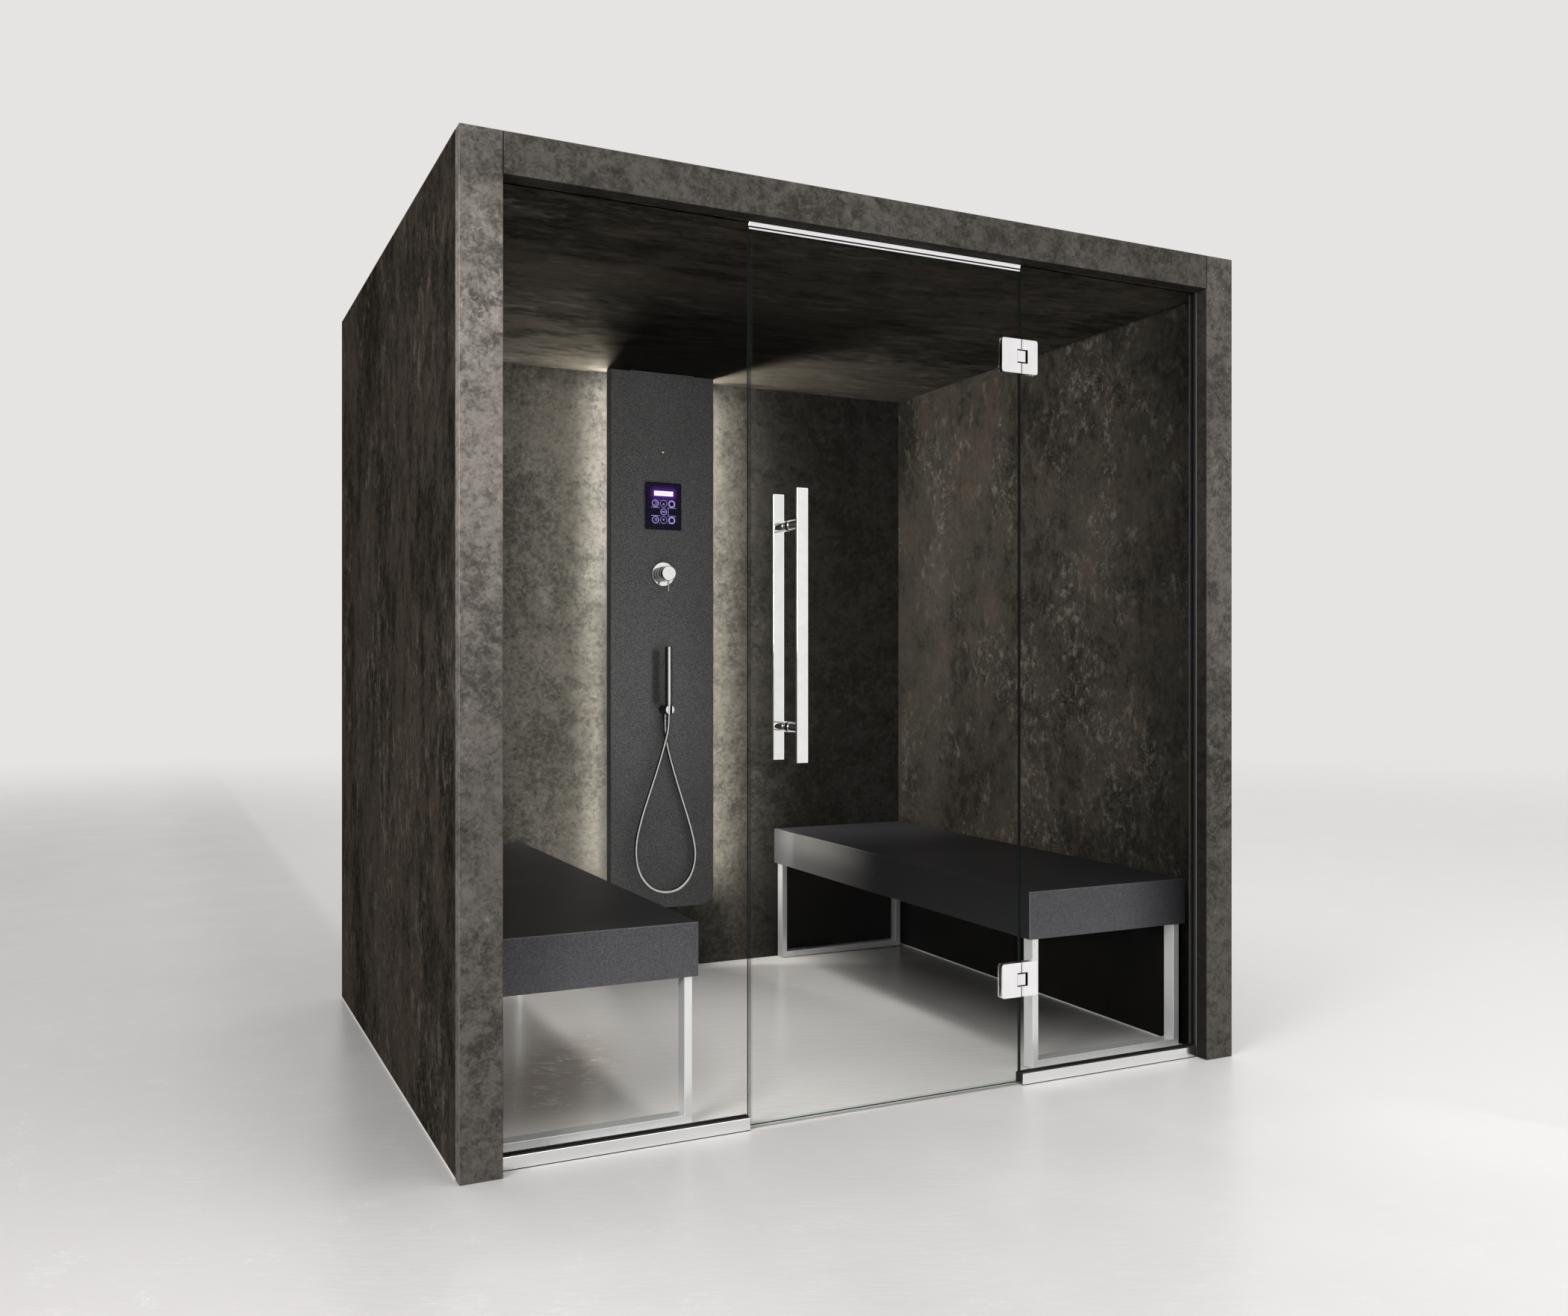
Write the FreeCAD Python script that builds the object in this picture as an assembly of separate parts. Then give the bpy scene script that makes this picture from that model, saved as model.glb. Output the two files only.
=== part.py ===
import FreeCAD, Part
import math
import os

# Steam sauna cabin: stone-effect sandwich panels behind a frameless glass front, two
# benches on tube frames, and a lit service column with keypad, mixer and hand shower.
# Millimetres, +Z up, X across the front from left to right, Y from the front to the back.
# The origin is on the floor, in the middle of the footprint, door handle included.

vec = FreeCAD.Vector

# Shell
cabin_width = 2170
cabin_depth = 1800
cabin_height = 2250
wall_thickness = 50
ceiling_thickness = 50
skin_thickness = 6
post_width = 94
post_depth = 39
lintel_height = 93
arris = 1.5
cut_overrun = 5

# Glass front
glass_thickness = 8
left_pane_width = 600
right_pane_width = 596
latch_gap = 5.5
hinge_gap = 4
channel_width = 30
channel_height = 30
channel_wall = 4
glass_bite = 16
bite_clearance = 2
gasket_rise = 2
header_height = 17
header_width = 12
header_lip = 5.5
header_groove = 1.5
header_end_gap = 1
door_top_gap = 3
door_floor_gap = 8
seal_wall = 1
seal_grip = 5
seal_clearance = 0.5
sweep_height = 4

# Hinges
hinge_height = 90
hinge_from_floor = 277
hinge_from_ceiling = 241
hinge_plate = 6
hinge_corner = 7
hinge_clearance = 0.5
hinge_core_height = 68
door_leaf_width = 60
fixed_leaf_width = 42.5
fixed_core_reach = 14
pin_inset = 8
pin_radius = 3
pin_clearance = 0.08
knuckle_height = 32
knuckle_block = 22
knuckle_tongue = 14
glass_cut_clearance = 1
hinge_screw_radius = 3
hinge_screw_head = 5.5
hinge_screw_grip = 4.5
hinge_screw_pitch = 50
hinge_screw_inset = 13
hinge_screw_room = 3
hinge_screw_fit = 0.05

# Door handle
handle_length = 652
handle_bar_width = 30
handle_bar_depth = 10
handle_bar_round = 1.5
handle_from_edge = 105.5
handle_centre_height = 1197
standoff_spacing = 486
standoff_radius = 13
standoff_length = 55
washer_thickness = 1
stud_radius = 4
stud_engagement = 15
stud_hole_clearance = 2
stud_fit = 0.1

# Benches
bench_width = 550
bench_front_gap = 132
bench_top_height = 487
bench_thickness = 130
bench_chamfer = 2
bench_skin = 6
leg_tube_width = 20
leg_tube_depth = 40
leg_tube_wall = 2
leg_edge = 1
rail_height = 22
leg_aisle_inset = 14
leg_wall_inset = 18
leg_front_inset = 7
leg_back_inset = 4
glide_thickness = 2
glide_length = 30
glide_margin = 3

# Service column
column_width = 395
column_depth = 39
column_standoff = 50
column_floor_gap = 237
column_top_gap = 2
column_corner = 52
column_sheet = 3
column_arris = 1.2
spine_width = 240
spine_wall = 3
spine_rise = 60
shelf_thickness = 3
shelf_inset = 80
led_profile_width = 17
led_profile_depth = 8
led_profile_wall = 1.5
led_end_gap = 15

# Keypad and sensor
keypad_width = 137
keypad_height = 169
keypad_above_mixer = 243.5
keypad_corner = 5
keypad_glass_thickness = 5
keypad_rim_thickness = 4
keypad_rim_inset = 2
keypad_box_width = 110
keypad_box_height = 140
keypad_box_depth = 25
keypad_box_clearance = 0.5
sensor_above_keypad = 196
sensor_radius = 6
sensor_proud = 4
sensor_stem_radius = 3
sensor_stem_length = 20
sensor_stem_clearance = 0.3

# Mixer
mixer_from_ceiling = 722.5
rosette_radius = 43.5
rosette_thickness = 8
rosette_edge = 2
mixer_radius = 26.5
mixer_proud = 65
mixer_pivot_out = 28
mixer_sleeve_end_gap = 0.5
mixer_dome_radius = 26
mixer_dome_clearance = 0.3
mixer_cap_setback = 10.5
mixer_cap_edge = 2
lever_radius = 3
lever_length = 38
lever_seat = 6
lever_from_front = 8
lever_fit = 0.05
valve_radius = 20
valve_clearance = 0.3
valve_nose_out = 22
valve_block = 44
valve_block_depth = 40
cartridge_radius = 16
cartridge_length = 32
cartridge_clearance = 0.1
stem_radius = 8
stem_length = 10
services_setback = 58

# Hand shower
holder_below_mixer = 484.5
holder_radius = 16.5
holder_length = 75
holder_edge = 1
handset_out = 60
handset_radius = 13
handset_length = 207
handset_edge = 1.5
handset_seat_gap = 0.4
cone_top_radius = 11.5
cone_bottom_radius = 9
cone_drop = 18
cone_clearance = 0.3
slot_width = 15
outlet_out = 22
outlet_radius = 7
outlet_drop = 22
hose_nut_radius = 8.5
hose_nut_length = 22
hose_radius = 6.5
elbow_block = 24

# Pipes in the column and pieces on the roof
pipe_radius = 7.5
supply_pipe_side = 45
steam_pipe_radius = 14
steam_pipe_wall = 1.5
steam_pipe_side = 85
steam_collar_radius = 18
steam_collar_height = 12
steam_floor_height = 250
pipe_clearance = 0.3
roof_stub = 28
roof_collar_step = 3.5
roof_collar_height = 12
hatch_width = 220
hatch_margin = 22
driver_length = 180
driver_width = 50
driver_height = 32
driver_from_left = 560
driver_from_back = 140
bracket_leg = 60
bracket_height = 35
bracket_thickness = 4

# Places worked out from the sizes above
left = -cabin_width / 2
right = cabin_width / 2
handle_reach = washer_thickness + standoff_length + handle_bar_depth
glass_setback = post_depth + (channel_width - glass_thickness) / 2
handle_proud = max(handle_reach - glass_setback, 0)
front = (handle_proud - cabin_depth) / 2
back = front + cabin_depth
panel_front = front + post_depth
room_left = left + wall_thickness
room_right = right - wall_thickness
room_back = back - wall_thickness
post_left = left + post_width
post_right = right - post_width
ceiling_z = cabin_height - lintel_height
roof_z = ceiling_z + ceiling_thickness

glass_front = front + glass_setback
glass_back = glass_front + glass_thickness
glass_mid = (glass_front + glass_back) / 2
channel_front = panel_front
channel_back = channel_front + channel_width
pane_left_edge = post_left + left_pane_width
pane_right_edge = post_right - right_pane_width
door_left = pane_left_edge + latch_gap
door_right = pane_right_edge - hinge_gap
header_bottom = ceiling_z - header_height
door_top = header_bottom - door_top_gap
door_bottom = door_floor_gap

pin_x = pane_right_edge + pin_inset
barrel_radius = glass_thickness / 2 + hinge_plate
hinge_heights = (hinge_from_floor, ceiling_z - hinge_from_ceiling)
handle_x = door_left + handle_from_edge
standoff_heights = (
    handle_centre_height - standoff_spacing / 2,
    handle_centre_height + standoff_spacing / 2,
)

bench_front = front + bench_front_gap
bench_bottom = bench_top_height - bench_thickness

column_back = room_back - column_standoff
column_front = column_back - column_depth
column_top = ceiling_z - column_top_gap
column_inside = column_front + column_sheet
spine_bottom = column_floor_gap + spine_rise
services_y = column_front + services_setback

mixer_height = ceiling_z - mixer_from_ceiling
keypad_centre_height = mixer_height + keypad_above_mixer
sensor_height = keypad_centre_height + sensor_above_keypad
holder_height = mixer_height - holder_below_mixer
handset_y = column_front - handset_out
outlet_y = column_front - outlet_out
handset_bottom = holder_height + holder_radius + handset_seat_gap
cone_bottom = holder_height - cone_drop
hose_nut_bottom = holder_height - outlet_drop - hose_nut_length

# The hose's route: across the column, out from its face, and down from the holder's middle
hose_points = [
    (0, 22, 44),
    (0, 22, 88),
    (12, 23, 150),
    (36, 25, 235),
    (66, 27, 330),
    (98, 29, 430),
    (117, 31, 520),
    (98, 34, 600),
    (48, 37, 647),
    (-14, 40, 653),
    (-70, 43, 628),
    (-112, 46, 566),
    (-122, 49, 480),
    (-102, 52, 390),
    (-70, 54, 295),
    (-36, 57, 195),
    (-10, 59, 105),
    (0, 60, 61),
    (0, 60, 18),
]

os.makedirs("parts", exist_ok=True)


def save(shape, node):
    shape.exportStep(f"parts/{node}.step")


def block(x_span, y_span, z_span):
    """A box from the low and high value on each axis."""
    size = [high - low for low, high in (x_span, y_span, z_span)]
    return Part.makeBox(*size, vec(x_span[0], y_span[0], z_span[0]))


def around(middle, width):
    """The span of a given width with its middle at a given place."""
    return (middle - width / 2, middle + width / 2)


def mirrored(span):
    """The same span on the other side of the cabin's middle plane."""
    return (-span[1], -span[0])


def upright(x, y, z_span, radius):
    """A cylinder that stands up."""
    return Part.makeCylinder(radius, z_span[1] - z_span[0], vec(x, y, z_span[0]), vec(0, 0, 1))


def outward(x, z, y_span, radius):
    """A cylinder that runs from front to back."""
    return Part.makeCylinder(radius, y_span[1] - y_span[0], vec(x, y_span[0], z), vec(0, 1, 0))


def sideways(y, z, x_span, radius):
    """A cylinder that runs across the cabin."""
    return Part.makeCylinder(radius, x_span[1] - x_span[0], vec(x_span[0], y, z), vec(1, 0, 0))


def union(shapes):
    joined = shapes[0].fuse(list(shapes[1:]))
    return joined.removeSplitter()


def edges_along(shape, axis, keep):
    """The straight edges along an axis whose middle passes a test."""
    direction = vec(*[1 if number == axis else 0 for number in range(3)])
    found = []
    for edge in shape.Edges:
        if len(edge.Vertexes) != 2:
            continue
        run = edge.Vertexes[1].Point - edge.Vertexes[0].Point
        if abs(run.dot(direction)) > run.Length * (1 - 1e-9) and keep(edge.CenterOfMass):
            found.append(edge)
    return found


def rounded_plate(x_span, y_span, z_span, radius, keep=lambda point: True):
    """A box whose edges along Y are rounded where the test allows."""
    plate = block(x_span, y_span, z_span)
    return plate.makeFillet(radius, edges_along(plate, 1, keep))


def sandwich(name, x_span, y_span, z_span, axis, outer_is_low, hole=None):
    """Two skins on a core: three flat slabs along the panel's thin axis."""
    spans = [x_span, y_span, z_span]
    low, high = spans[axis]
    steps = [low, low + skin_thickness, high - skin_thickness, high]
    layers = ["outer_skin", "core", "inner_skin"]
    if not outer_is_low:
        layers.reverse()
    for layer, start, end in zip(layers, steps[:-1], steps[1:]):
        spans[axis] = (start, end)
        slab = block(*spans)
        save(slab.cut(hole) if hole else slab, f"{name}_{layer}")


def shell():
    """Side walls, back wall and ceiling, with a hatch over the column for its pipes."""
    wall_y = (panel_front, back)
    wall_z = (0, cabin_height)
    sandwich("left_wall", (left, room_left), wall_y, wall_z, 0, True)
    sandwich("right_wall", (room_right, right), wall_y, wall_z, 0, False)
    sandwich("back_wall", (room_left, room_right), (room_back, back), wall_z, 1, False)
    hatch = block(
        around(0, hatch_width),
        (services_y - pipe_radius - hatch_margin, room_back + cut_overrun),
        (ceiling_z - cut_overrun, roof_z + cut_overrun),
    )
    room_y = (panel_front, room_back)
    sandwich("ceiling", (room_left, room_right), room_y, (ceiling_z, roof_z), 2, False, hatch)


def portal():
    """The two front posts and the lintel between them, with small arrises."""
    y_span = (front, panel_front)
    for side, x_span in (("left", (left, post_left)), ("right", (post_right, right))):
        post = block(x_span, y_span, (0, cabin_height))
        save(post.makeChamfer(arris, post.Edges), f"front_post_{side}")
    lintel = block((post_left, post_right), y_span, (ceiling_z, cabin_height))
    save(lintel.makeChamfer(arris, lintel.Edges), "front_lintel")


def wall_profile(x_span, slot_span):
    profile = block(x_span, (channel_front, channel_back), (0, ceiling_z))
    slot = block(slot_span, around(glass_mid, channel_width - 2 * channel_wall), (0, ceiling_z))
    return profile.cut(slot)


def floor_channel(x_span):
    channel = block(x_span, (channel_front, channel_back), (0, channel_height))
    slot = block(
        x_span,
        around(glass_mid, channel_width - 2 * channel_wall),
        (channel_wall, channel_height + cut_overrun),
    )
    return channel.cut(slot)


def pane_gaskets(floor_x, wall_x):
    """Four strips that fill a pane's channel and wall profile, before and behind the glass."""
    strips = []
    strip_top = channel_height + gasket_rise
    for y_span in (
        (channel_front + channel_wall, glass_front),
        (glass_back, channel_back - channel_wall),
    ):
        strips.append(block(floor_x, y_span, (channel_wall, strip_top)))
        strips.append(block(wall_x, y_span, (strip_top, ceiling_z)))
    return strips


def glazing():
    """Wall profiles, floor channels, gaskets and the two fixed panes."""
    slot_depth = glass_bite + bite_clearance
    left_slot = (post_left - slot_depth, post_left + cut_overrun)
    right_slot = (post_right - cut_overrun, post_right + slot_depth)
    profiles = [
        wall_profile((room_left, post_left), left_slot),
        wall_profile((post_right, room_right), right_slot),
    ]
    save(Part.makeCompound(profiles), "glass_wall_profiles")
    left_floor = (post_left, pane_left_edge)
    right_floor = (pane_right_edge, post_right)
    save(Part.makeCompound([floor_channel(left_floor), floor_channel(right_floor)]), "floor_channels")
    strips = pane_gaskets(left_floor, (post_left - glass_bite, post_left + gasket_rise))
    strips += pane_gaskets(right_floor, (post_right - gasket_rise, post_right + glass_bite))
    save(Part.makeCompound(strips), "glazing_gaskets")

    glass_y = (glass_front, glass_back)
    pane_z = (channel_wall, ceiling_z)
    save(block((post_left - glass_bite, pane_left_edge), glass_y, pane_z), "fixed_glass_left")
    pane = block((pane_right_edge, post_right + glass_bite), glass_y, pane_z)
    for height in hinge_heights:
        pane = pane.cut(
            block(
                (pane_right_edge - cut_overrun, pin_x + fixed_core_reach + glass_cut_clearance),
                (glass_front - cut_overrun, glass_back + cut_overrun),
                around(height, hinge_core_height + 2 * glass_cut_clearance),
            )
        )
    screw_y = (-glass_thickness, glass_thickness)
    save(pane.cut(screw_holes(screw_places()[1], screw_y)), "fixed_glass_right")


def header():
    """The bright bar over the door, with a groove above its lip."""
    x_span = (pane_left_edge + header_end_gap, pane_right_edge - header_end_gap)
    bar = block(x_span, around(glass_mid, header_width), (header_bottom, ceiling_z))
    groove_z = (header_bottom + header_lip, header_bottom + header_lip + header_groove)
    core_width = header_width - 2 * header_groove
    ring = block(x_span, around(glass_mid, header_width + cut_overrun), groove_z)
    ring = ring.cut(block(x_span, around(glass_mid, core_width), groove_z))
    save(bar.cut(ring), "door_header_bar")


def at_hinges(shape):
    """Copies of a shape, made about the pin at height zero, at both hinges."""
    copies = []
    for height in hinge_heights:
        copy = shape.copy()
        copy.translate(vec(pin_x, glass_mid, height))
        copies.append(copy)
    return copies


def screw_places():
    """Each hinge's screws: their distances from the pin on the door and on the pane, and heights."""
    door_x = hinge_screw_inset - barrel_radius - hinge_clearance - door_leaf_width
    pane_x = fixed_leaf_width - hinge_screw_inset
    heights = (-hinge_screw_pitch / 2, hinge_screw_pitch / 2)
    return door_x, pane_x, heights


def hinge_screw(x, z, play=0):
    """A countersunk screw: head flush with the inner plate, end blind in the outer plate."""
    half = glass_thickness / 2
    shank = outward(x, z, (-half - hinge_screw_grip - play, barrel_radius), hinge_screw_radius + play)
    head_depth = hinge_screw_head - hinge_screw_radius
    head = Part.makeCone(
        hinge_screw_radius + play,
        hinge_screw_head + play,
        head_depth,
        vec(x, barrel_radius - head_depth, z),
        vec(0, 1, 0),
    )
    return union([shank, head])


def hinge_screws(x, play=0):
    return [hinge_screw(x, z, play) for z in screw_places()[2]]


def knuckle_notch(x_span):
    """Room for the knuckle in a leaf, with the hinge's clearance above and below."""
    return block(
        x_span,
        around(0, 2 * barrel_radius + cut_overrun),
        around(0, knuckle_height + 2 * hinge_clearance),
    )


def hinge_fixed_leaf():
    """The pane's leaf: barrel, core and outer plate in one, and the inner clamping plate."""
    z_span = around(0, hinge_height)
    half = glass_thickness / 2
    barrel_end = barrel_radius + hinge_clearance
    far = lambda point: point.x > fixed_leaf_width / 2
    outer = rounded_plate((0, fixed_leaf_width), (-barrel_radius, -half), z_span, hinge_corner, far)
    cheek = block((0, barrel_end), around(0, 2 * barrel_radius), z_span)
    body = union([outer, cheek, upright(0, 0, z_span, barrel_radius)])
    overrun_x = (-barrel_radius - cut_overrun, barrel_end + cut_overrun)
    body = body.cut(block(overrun_x, (-half, half), around(0, hinge_height + 2 * cut_overrun)))
    core = block((-pin_inset, fixed_core_reach), (-half, half), around(0, hinge_core_height))
    body = union([body, core])
    body = body.cut(knuckle_notch((-barrel_radius - cut_overrun, barrel_end)))
    body = body.cut(upright(0, 0, z_span, pin_radius + pin_clearance))
    inner_x = (barrel_end, fixed_leaf_width)
    inner = rounded_plate(inner_x, (half, barrel_radius), z_span, hinge_corner, far)
    screws = hinge_screws(screw_places()[1], hinge_screw_fit)
    return [body.cut(screws), inner.cut(screws)]


def hinge_door_leaf():
    """The door's leaf: an outer and an inner plate, each notched around the knuckle block."""
    inner_end = -(barrel_radius + hinge_clearance)
    x_span = (inner_end - door_leaf_width, inner_end)
    half = glass_thickness / 2
    notch = knuckle_notch((-knuckle_block - hinge_clearance, inner_end + cut_overrun))
    far = lambda point: point.x < inner_end - door_leaf_width / 2
    screws = hinge_screws(screw_places()[0], hinge_screw_fit)
    plates = []
    for y_span in ((-barrel_radius, -half), (half, barrel_radius)):
        plate = rounded_plate(x_span, y_span, around(0, hinge_height), hinge_corner, far)
        plates.append(plate.cut(notch).cut(screws))
    return plates


def hinge_knuckle():
    """The block that turns on the pin, with a tongue clamped between the door's plates."""
    z_span = around(0, knuckle_height)
    body = block((-knuckle_block, 0), around(0, 2 * barrel_radius), z_span)
    tongue_x = (-knuckle_block - knuckle_tongue, -knuckle_block)
    tongue = block(tongue_x, around(0, glass_thickness), z_span)
    knuckle = union([body, upright(0, 0, z_span, barrel_radius), tongue])
    return knuckle.cut(upright(0, 0, z_span, pin_radius + pin_clearance))


def save_hinge_pieces(pieces, node):
    copies = [copy for piece in pieces for copy in at_hinges(piece)]
    save(Part.makeCompound(copies), node)


def hinges():
    door_x, pane_x, heights = screw_places()
    save_hinge_pieces(hinge_fixed_leaf(), "hinge_fixed_leaves")
    save_hinge_pieces(hinge_door_leaf(), "hinge_door_leaves")
    save_hinge_pieces([hinge_knuckle()], "hinge_knuckles")
    save_hinge_pieces([upright(0, 0, around(0, hinge_core_height), pin_radius)], "hinge_pins")
    save_hinge_pieces(hinge_screws(door_x), "door_hinge_screws")
    save_hinge_pieces(hinge_screws(pane_x), "pane_hinge_screws")


def screw_holes(x, y_span):
    """Holes through a glass for the screws of both hinges."""
    radius = hinge_screw_radius + hinge_screw_room
    holes = [outward(x, z, y_span, radius) for z in screw_places()[2]]
    return [copy for hole in holes for copy in at_hinges(hole)]


def foot_end():
    """Where the door's foot ends, so that it swings clear of the floor channel's corner."""
    return min(pin_x - math.hypot(pin_inset, channel_width / 2) - hinge_clearance, door_right)


def door_glass():
    y_span = (glass_front - cut_overrun, glass_back + cut_overrun)
    pane = block((door_left, door_right), (glass_front, glass_back), (door_bottom, door_top))
    foot_z = (door_bottom - cut_overrun, channel_height + gasket_rise + glass_cut_clearance)
    pane = pane.cut(block((foot_end(), door_right + cut_overrun), y_span, foot_z))
    tongue_end = pin_x - knuckle_block - knuckle_tongue - glass_cut_clearance
    for height in hinge_heights:
        slot_z = around(height, knuckle_height + 2 * glass_cut_clearance)
        pane = pane.cut(block((tongue_end, door_right + cut_overrun), y_span, slot_z))
    for height in standoff_heights:
        pane = pane.cut(outward(handle_x, height, y_span, stud_radius + stud_hole_clearance))
    screw_y = (-glass_thickness, glass_thickness)
    save(pane.cut(screw_holes(screw_places()[0], screw_y)), "door_glass")


def door_seals():
    """A clip-on seal on the closing edge, and one with a sweep along the foot."""
    grip_y = (glass_front - seal_wall, glass_back + seal_wall)
    glass_y = (glass_front, glass_back)
    seal_bottom = door_bottom - sweep_height
    foot_top = door_bottom + seal_grip
    side_x = (pane_left_edge + seal_clearance, door_left + seal_grip)
    side = block(side_x, grip_y, (foot_top, door_top))
    side = side.cut(block((door_left, door_left + 2 * seal_grip), glass_y, (foot_top, door_top)))
    save(side, "door_side_seal")
    foot_x = (side_x[0], foot_end())
    foot = block(foot_x, grip_y, (seal_bottom, foot_top))
    glass_x = (door_left, foot_x[1])
    foot = foot.cut(block(glass_x, glass_y, (door_bottom, foot_top + cut_overrun)))
    save(foot, "door_bottom_seal")


def handle():
    """Two bars back to back through the glass, on round standoffs with washers."""
    bar_x = around(handle_x, handle_bar_width)
    bar_z = around(handle_centre_height, handle_length)
    outer_face = glass_front - handle_reach
    inner_face = glass_back + handle_reach
    bars = []
    for y_span in (
        (outer_face, outer_face + handle_bar_depth),
        (inner_face - handle_bar_depth, inner_face),
    ):
        bar = block(bar_x, y_span, bar_z)
        bars.append(bar.makeFillet(handle_bar_round, bar.Edges))
    save(Part.makeCompound(bars), "handle_bars")
    standoffs = []
    washers = []
    outer_washer = (glass_front - washer_thickness, glass_front)
    inner_washer = (glass_back, glass_back + washer_thickness)
    stud_end = inner_washer[1] + stud_engagement
    for height in standoff_heights:
        outer = outward(
            handle_x, height, (outer_face + handle_bar_depth, outer_washer[0]), standoff_radius
        )
        stud = outward(handle_x, height, (outer_washer[0], stud_end), stud_radius)
        inner = outward(
            handle_x, height, (inner_washer[1], inner_face - handle_bar_depth), standoff_radius
        )
        bore_y = (inner_washer[1], stud_end + stud_fit)
        bore = outward(handle_x, height, bore_y, stud_radius + stud_fit)
        standoffs += [union([outer, stud]), inner.cut(bore)]
        for y_span in (outer_washer, inner_washer):
            ring = outward(handle_x, height, y_span, standoff_radius)
            washers.append(ring.cut(outward(handle_x, height, y_span, stud_radius + stud_fit)))
    save(Part.makeCompound(standoffs), "handle_standoffs")
    save(Part.makeCompound(washers), "handle_washers")


def bench_frame(x_span, y_span):
    """A U of rectangular tube: two legs and the rail between their feet."""
    z_span = (glide_thickness, bench_bottom)
    frame = block(x_span, y_span, z_span)
    window_x = (x_span[0] + leg_tube_width, x_span[1] - leg_tube_width)
    window_z = (glide_thickness + rail_height, bench_bottom + cut_overrun)
    deep_y = (y_span[0] - cut_overrun, y_span[1] + cut_overrun)
    frame = frame.cut(block(window_x, deep_y, window_z))
    frame = frame.makeChamfer(leg_edge, edges_along(frame, 2, lambda point: True))
    wall = leg_tube_wall
    bore_y = (y_span[0] + wall, y_span[1] - wall)
    bore_x = (x_span[0] + wall, x_span[1] - wall)
    bore = block(bore_x, bore_y, (z_span[0] + wall, bench_bottom))
    keep_x = (window_x[0] - wall, window_x[1] + wall)
    bore = bore.cut(block(keep_x, bore_y, (window_z[0] - wall, bench_bottom)))
    return frame.cut(bore)


def bench(side, seat_x, frame_x):
    """A bench: seat shell over its core, a frame at each end, glides under the frames' feet."""
    seat_y = (bench_front, room_back)
    seat = block(seat_x, seat_y, (bench_bottom, bench_top_height))
    seat = seat.makeChamfer(bench_chamfer, seat.Edges)
    core_x = (seat_x[0] + bench_skin, seat_x[1] - bench_skin)
    core_y = (seat_y[0] + bench_skin, seat_y[1] - bench_skin)
    core = block(core_x, core_y, (bench_bottom, bench_top_height - bench_skin))
    save(seat.cut(core), f"bench_{side}_seat")
    front_leg = bench_front + leg_front_inset
    back_leg = room_back - leg_back_inset
    frames = []
    glides = []
    for y_span in (
        (front_leg, front_leg + leg_tube_depth),
        (back_leg - leg_tube_depth, back_leg),
    ):
        frames.append(bench_frame(frame_x, y_span))
        glide_y = (y_span[0] + glide_margin, y_span[1] - glide_margin)
        low, high = frame_x[0] + glide_margin, frame_x[1] - glide_margin
        for x_span in ((low, low + glide_length), (high - glide_length, high)):
            glides.append(block(x_span, glide_y, (0, glide_thickness)))
    return [core], frames, glides


def benches():
    left_seat = (room_left, room_left + bench_width)
    left_frame = (room_left + leg_wall_inset, left_seat[1] - leg_aisle_inset)
    left_pieces = bench("left", left_seat, left_frame)
    right_pieces = bench("right", mirrored(left_seat), mirrored(left_frame))
    nodes = ("bench_cores", "bench_frames", "frame_glides")
    for node, left_solids, right_solids in zip(nodes, left_pieces, right_pieces):
        save(Part.makeCompound(left_solids + right_solids), node)


def column_openings():
    """What is cut through the column's face: keypad box, sensor stem, valve and outlet."""
    through = (column_front - cut_overrun, column_inside + spine_wall + cut_overrun)
    keypad = block(
        around(0, keypad_box_width + 2 * keypad_box_clearance),
        through,
        around(keypad_centre_height, keypad_box_height + 2 * keypad_box_clearance),
    )
    sensor = outward(0, sensor_height, through, sensor_stem_radius + sensor_stem_clearance)
    valve = outward(0, mixer_height, through, valve_radius + valve_clearance)
    outlet = outward(0, holder_height, through, pipe_radius + pipe_clearance)
    return union([keypad, sensor, valve, outlet])


def column():
    """The floating cover, a folded tray open behind and above, and the spine behind it."""
    x_span = around(0, column_width)
    z_span = (column_floor_gap, column_top)
    foot = lambda point: point.z < column_floor_gap + column_corner
    cover = rounded_plate(x_span, (column_front, column_back), z_span, column_corner, foot)
    face_edges = []
    for edge in cover.Edges:
        if edge.BoundBox.YMax < column_front + column_arris / 2:
            face_edges.append(edge)
    cover = cover.makeChamfer(column_arris, face_edges)
    tray = rounded_plate(
        around(0, column_width - 2 * column_sheet),
        (column_inside, column_back + cut_overrun),
        (column_floor_gap + column_sheet, column_top + cut_overrun),
        column_corner - column_sheet,
        foot,
    )
    openings = column_openings()
    save(cover.cut(tray).cut(openings), "column_cover")

    spine_y = (column_inside, room_back)
    tube = block(around(0, spine_width), spine_y, (spine_bottom, ceiling_z))
    bore = block(
        around(0, spine_width - 2 * spine_wall),
        (spine_y[0] + spine_wall, spine_y[1] - spine_wall),
        (spine_bottom, ceiling_z),
    )
    shelves = []
    pipes = pipe_bores()
    for height in (spine_bottom + shelf_inset, ceiling_z - shelf_inset):
        shelf = block(
            around(0, spine_width - 2 * spine_wall),
            (spine_y[0] + spine_wall, spine_y[1] - spine_wall),
            around(height, shelf_thickness),
        )
        shelves.append(shelf.cut(pipes))
    spine = union([tube.cut(bore)] + shelves)
    save(spine.cut(openings), "column_spine")


def pipe_bores():
    """Room for the supply and steam pipes where they pass the spine's shelves."""
    radius = pipe_radius + pipe_clearance
    bores = [upright(side, services_y, (mixer_height, roof_z), radius) for side in pipe_sides()]
    steam_radius = steam_pipe_radius + pipe_clearance
    bores.append(upright(steam_pipe_side, services_y, (column_floor_gap, roof_z), steam_radius))
    return Part.makeCompound(bores)


def pipe_sides():
    return (-supply_pipe_side, supply_pipe_side)


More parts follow.
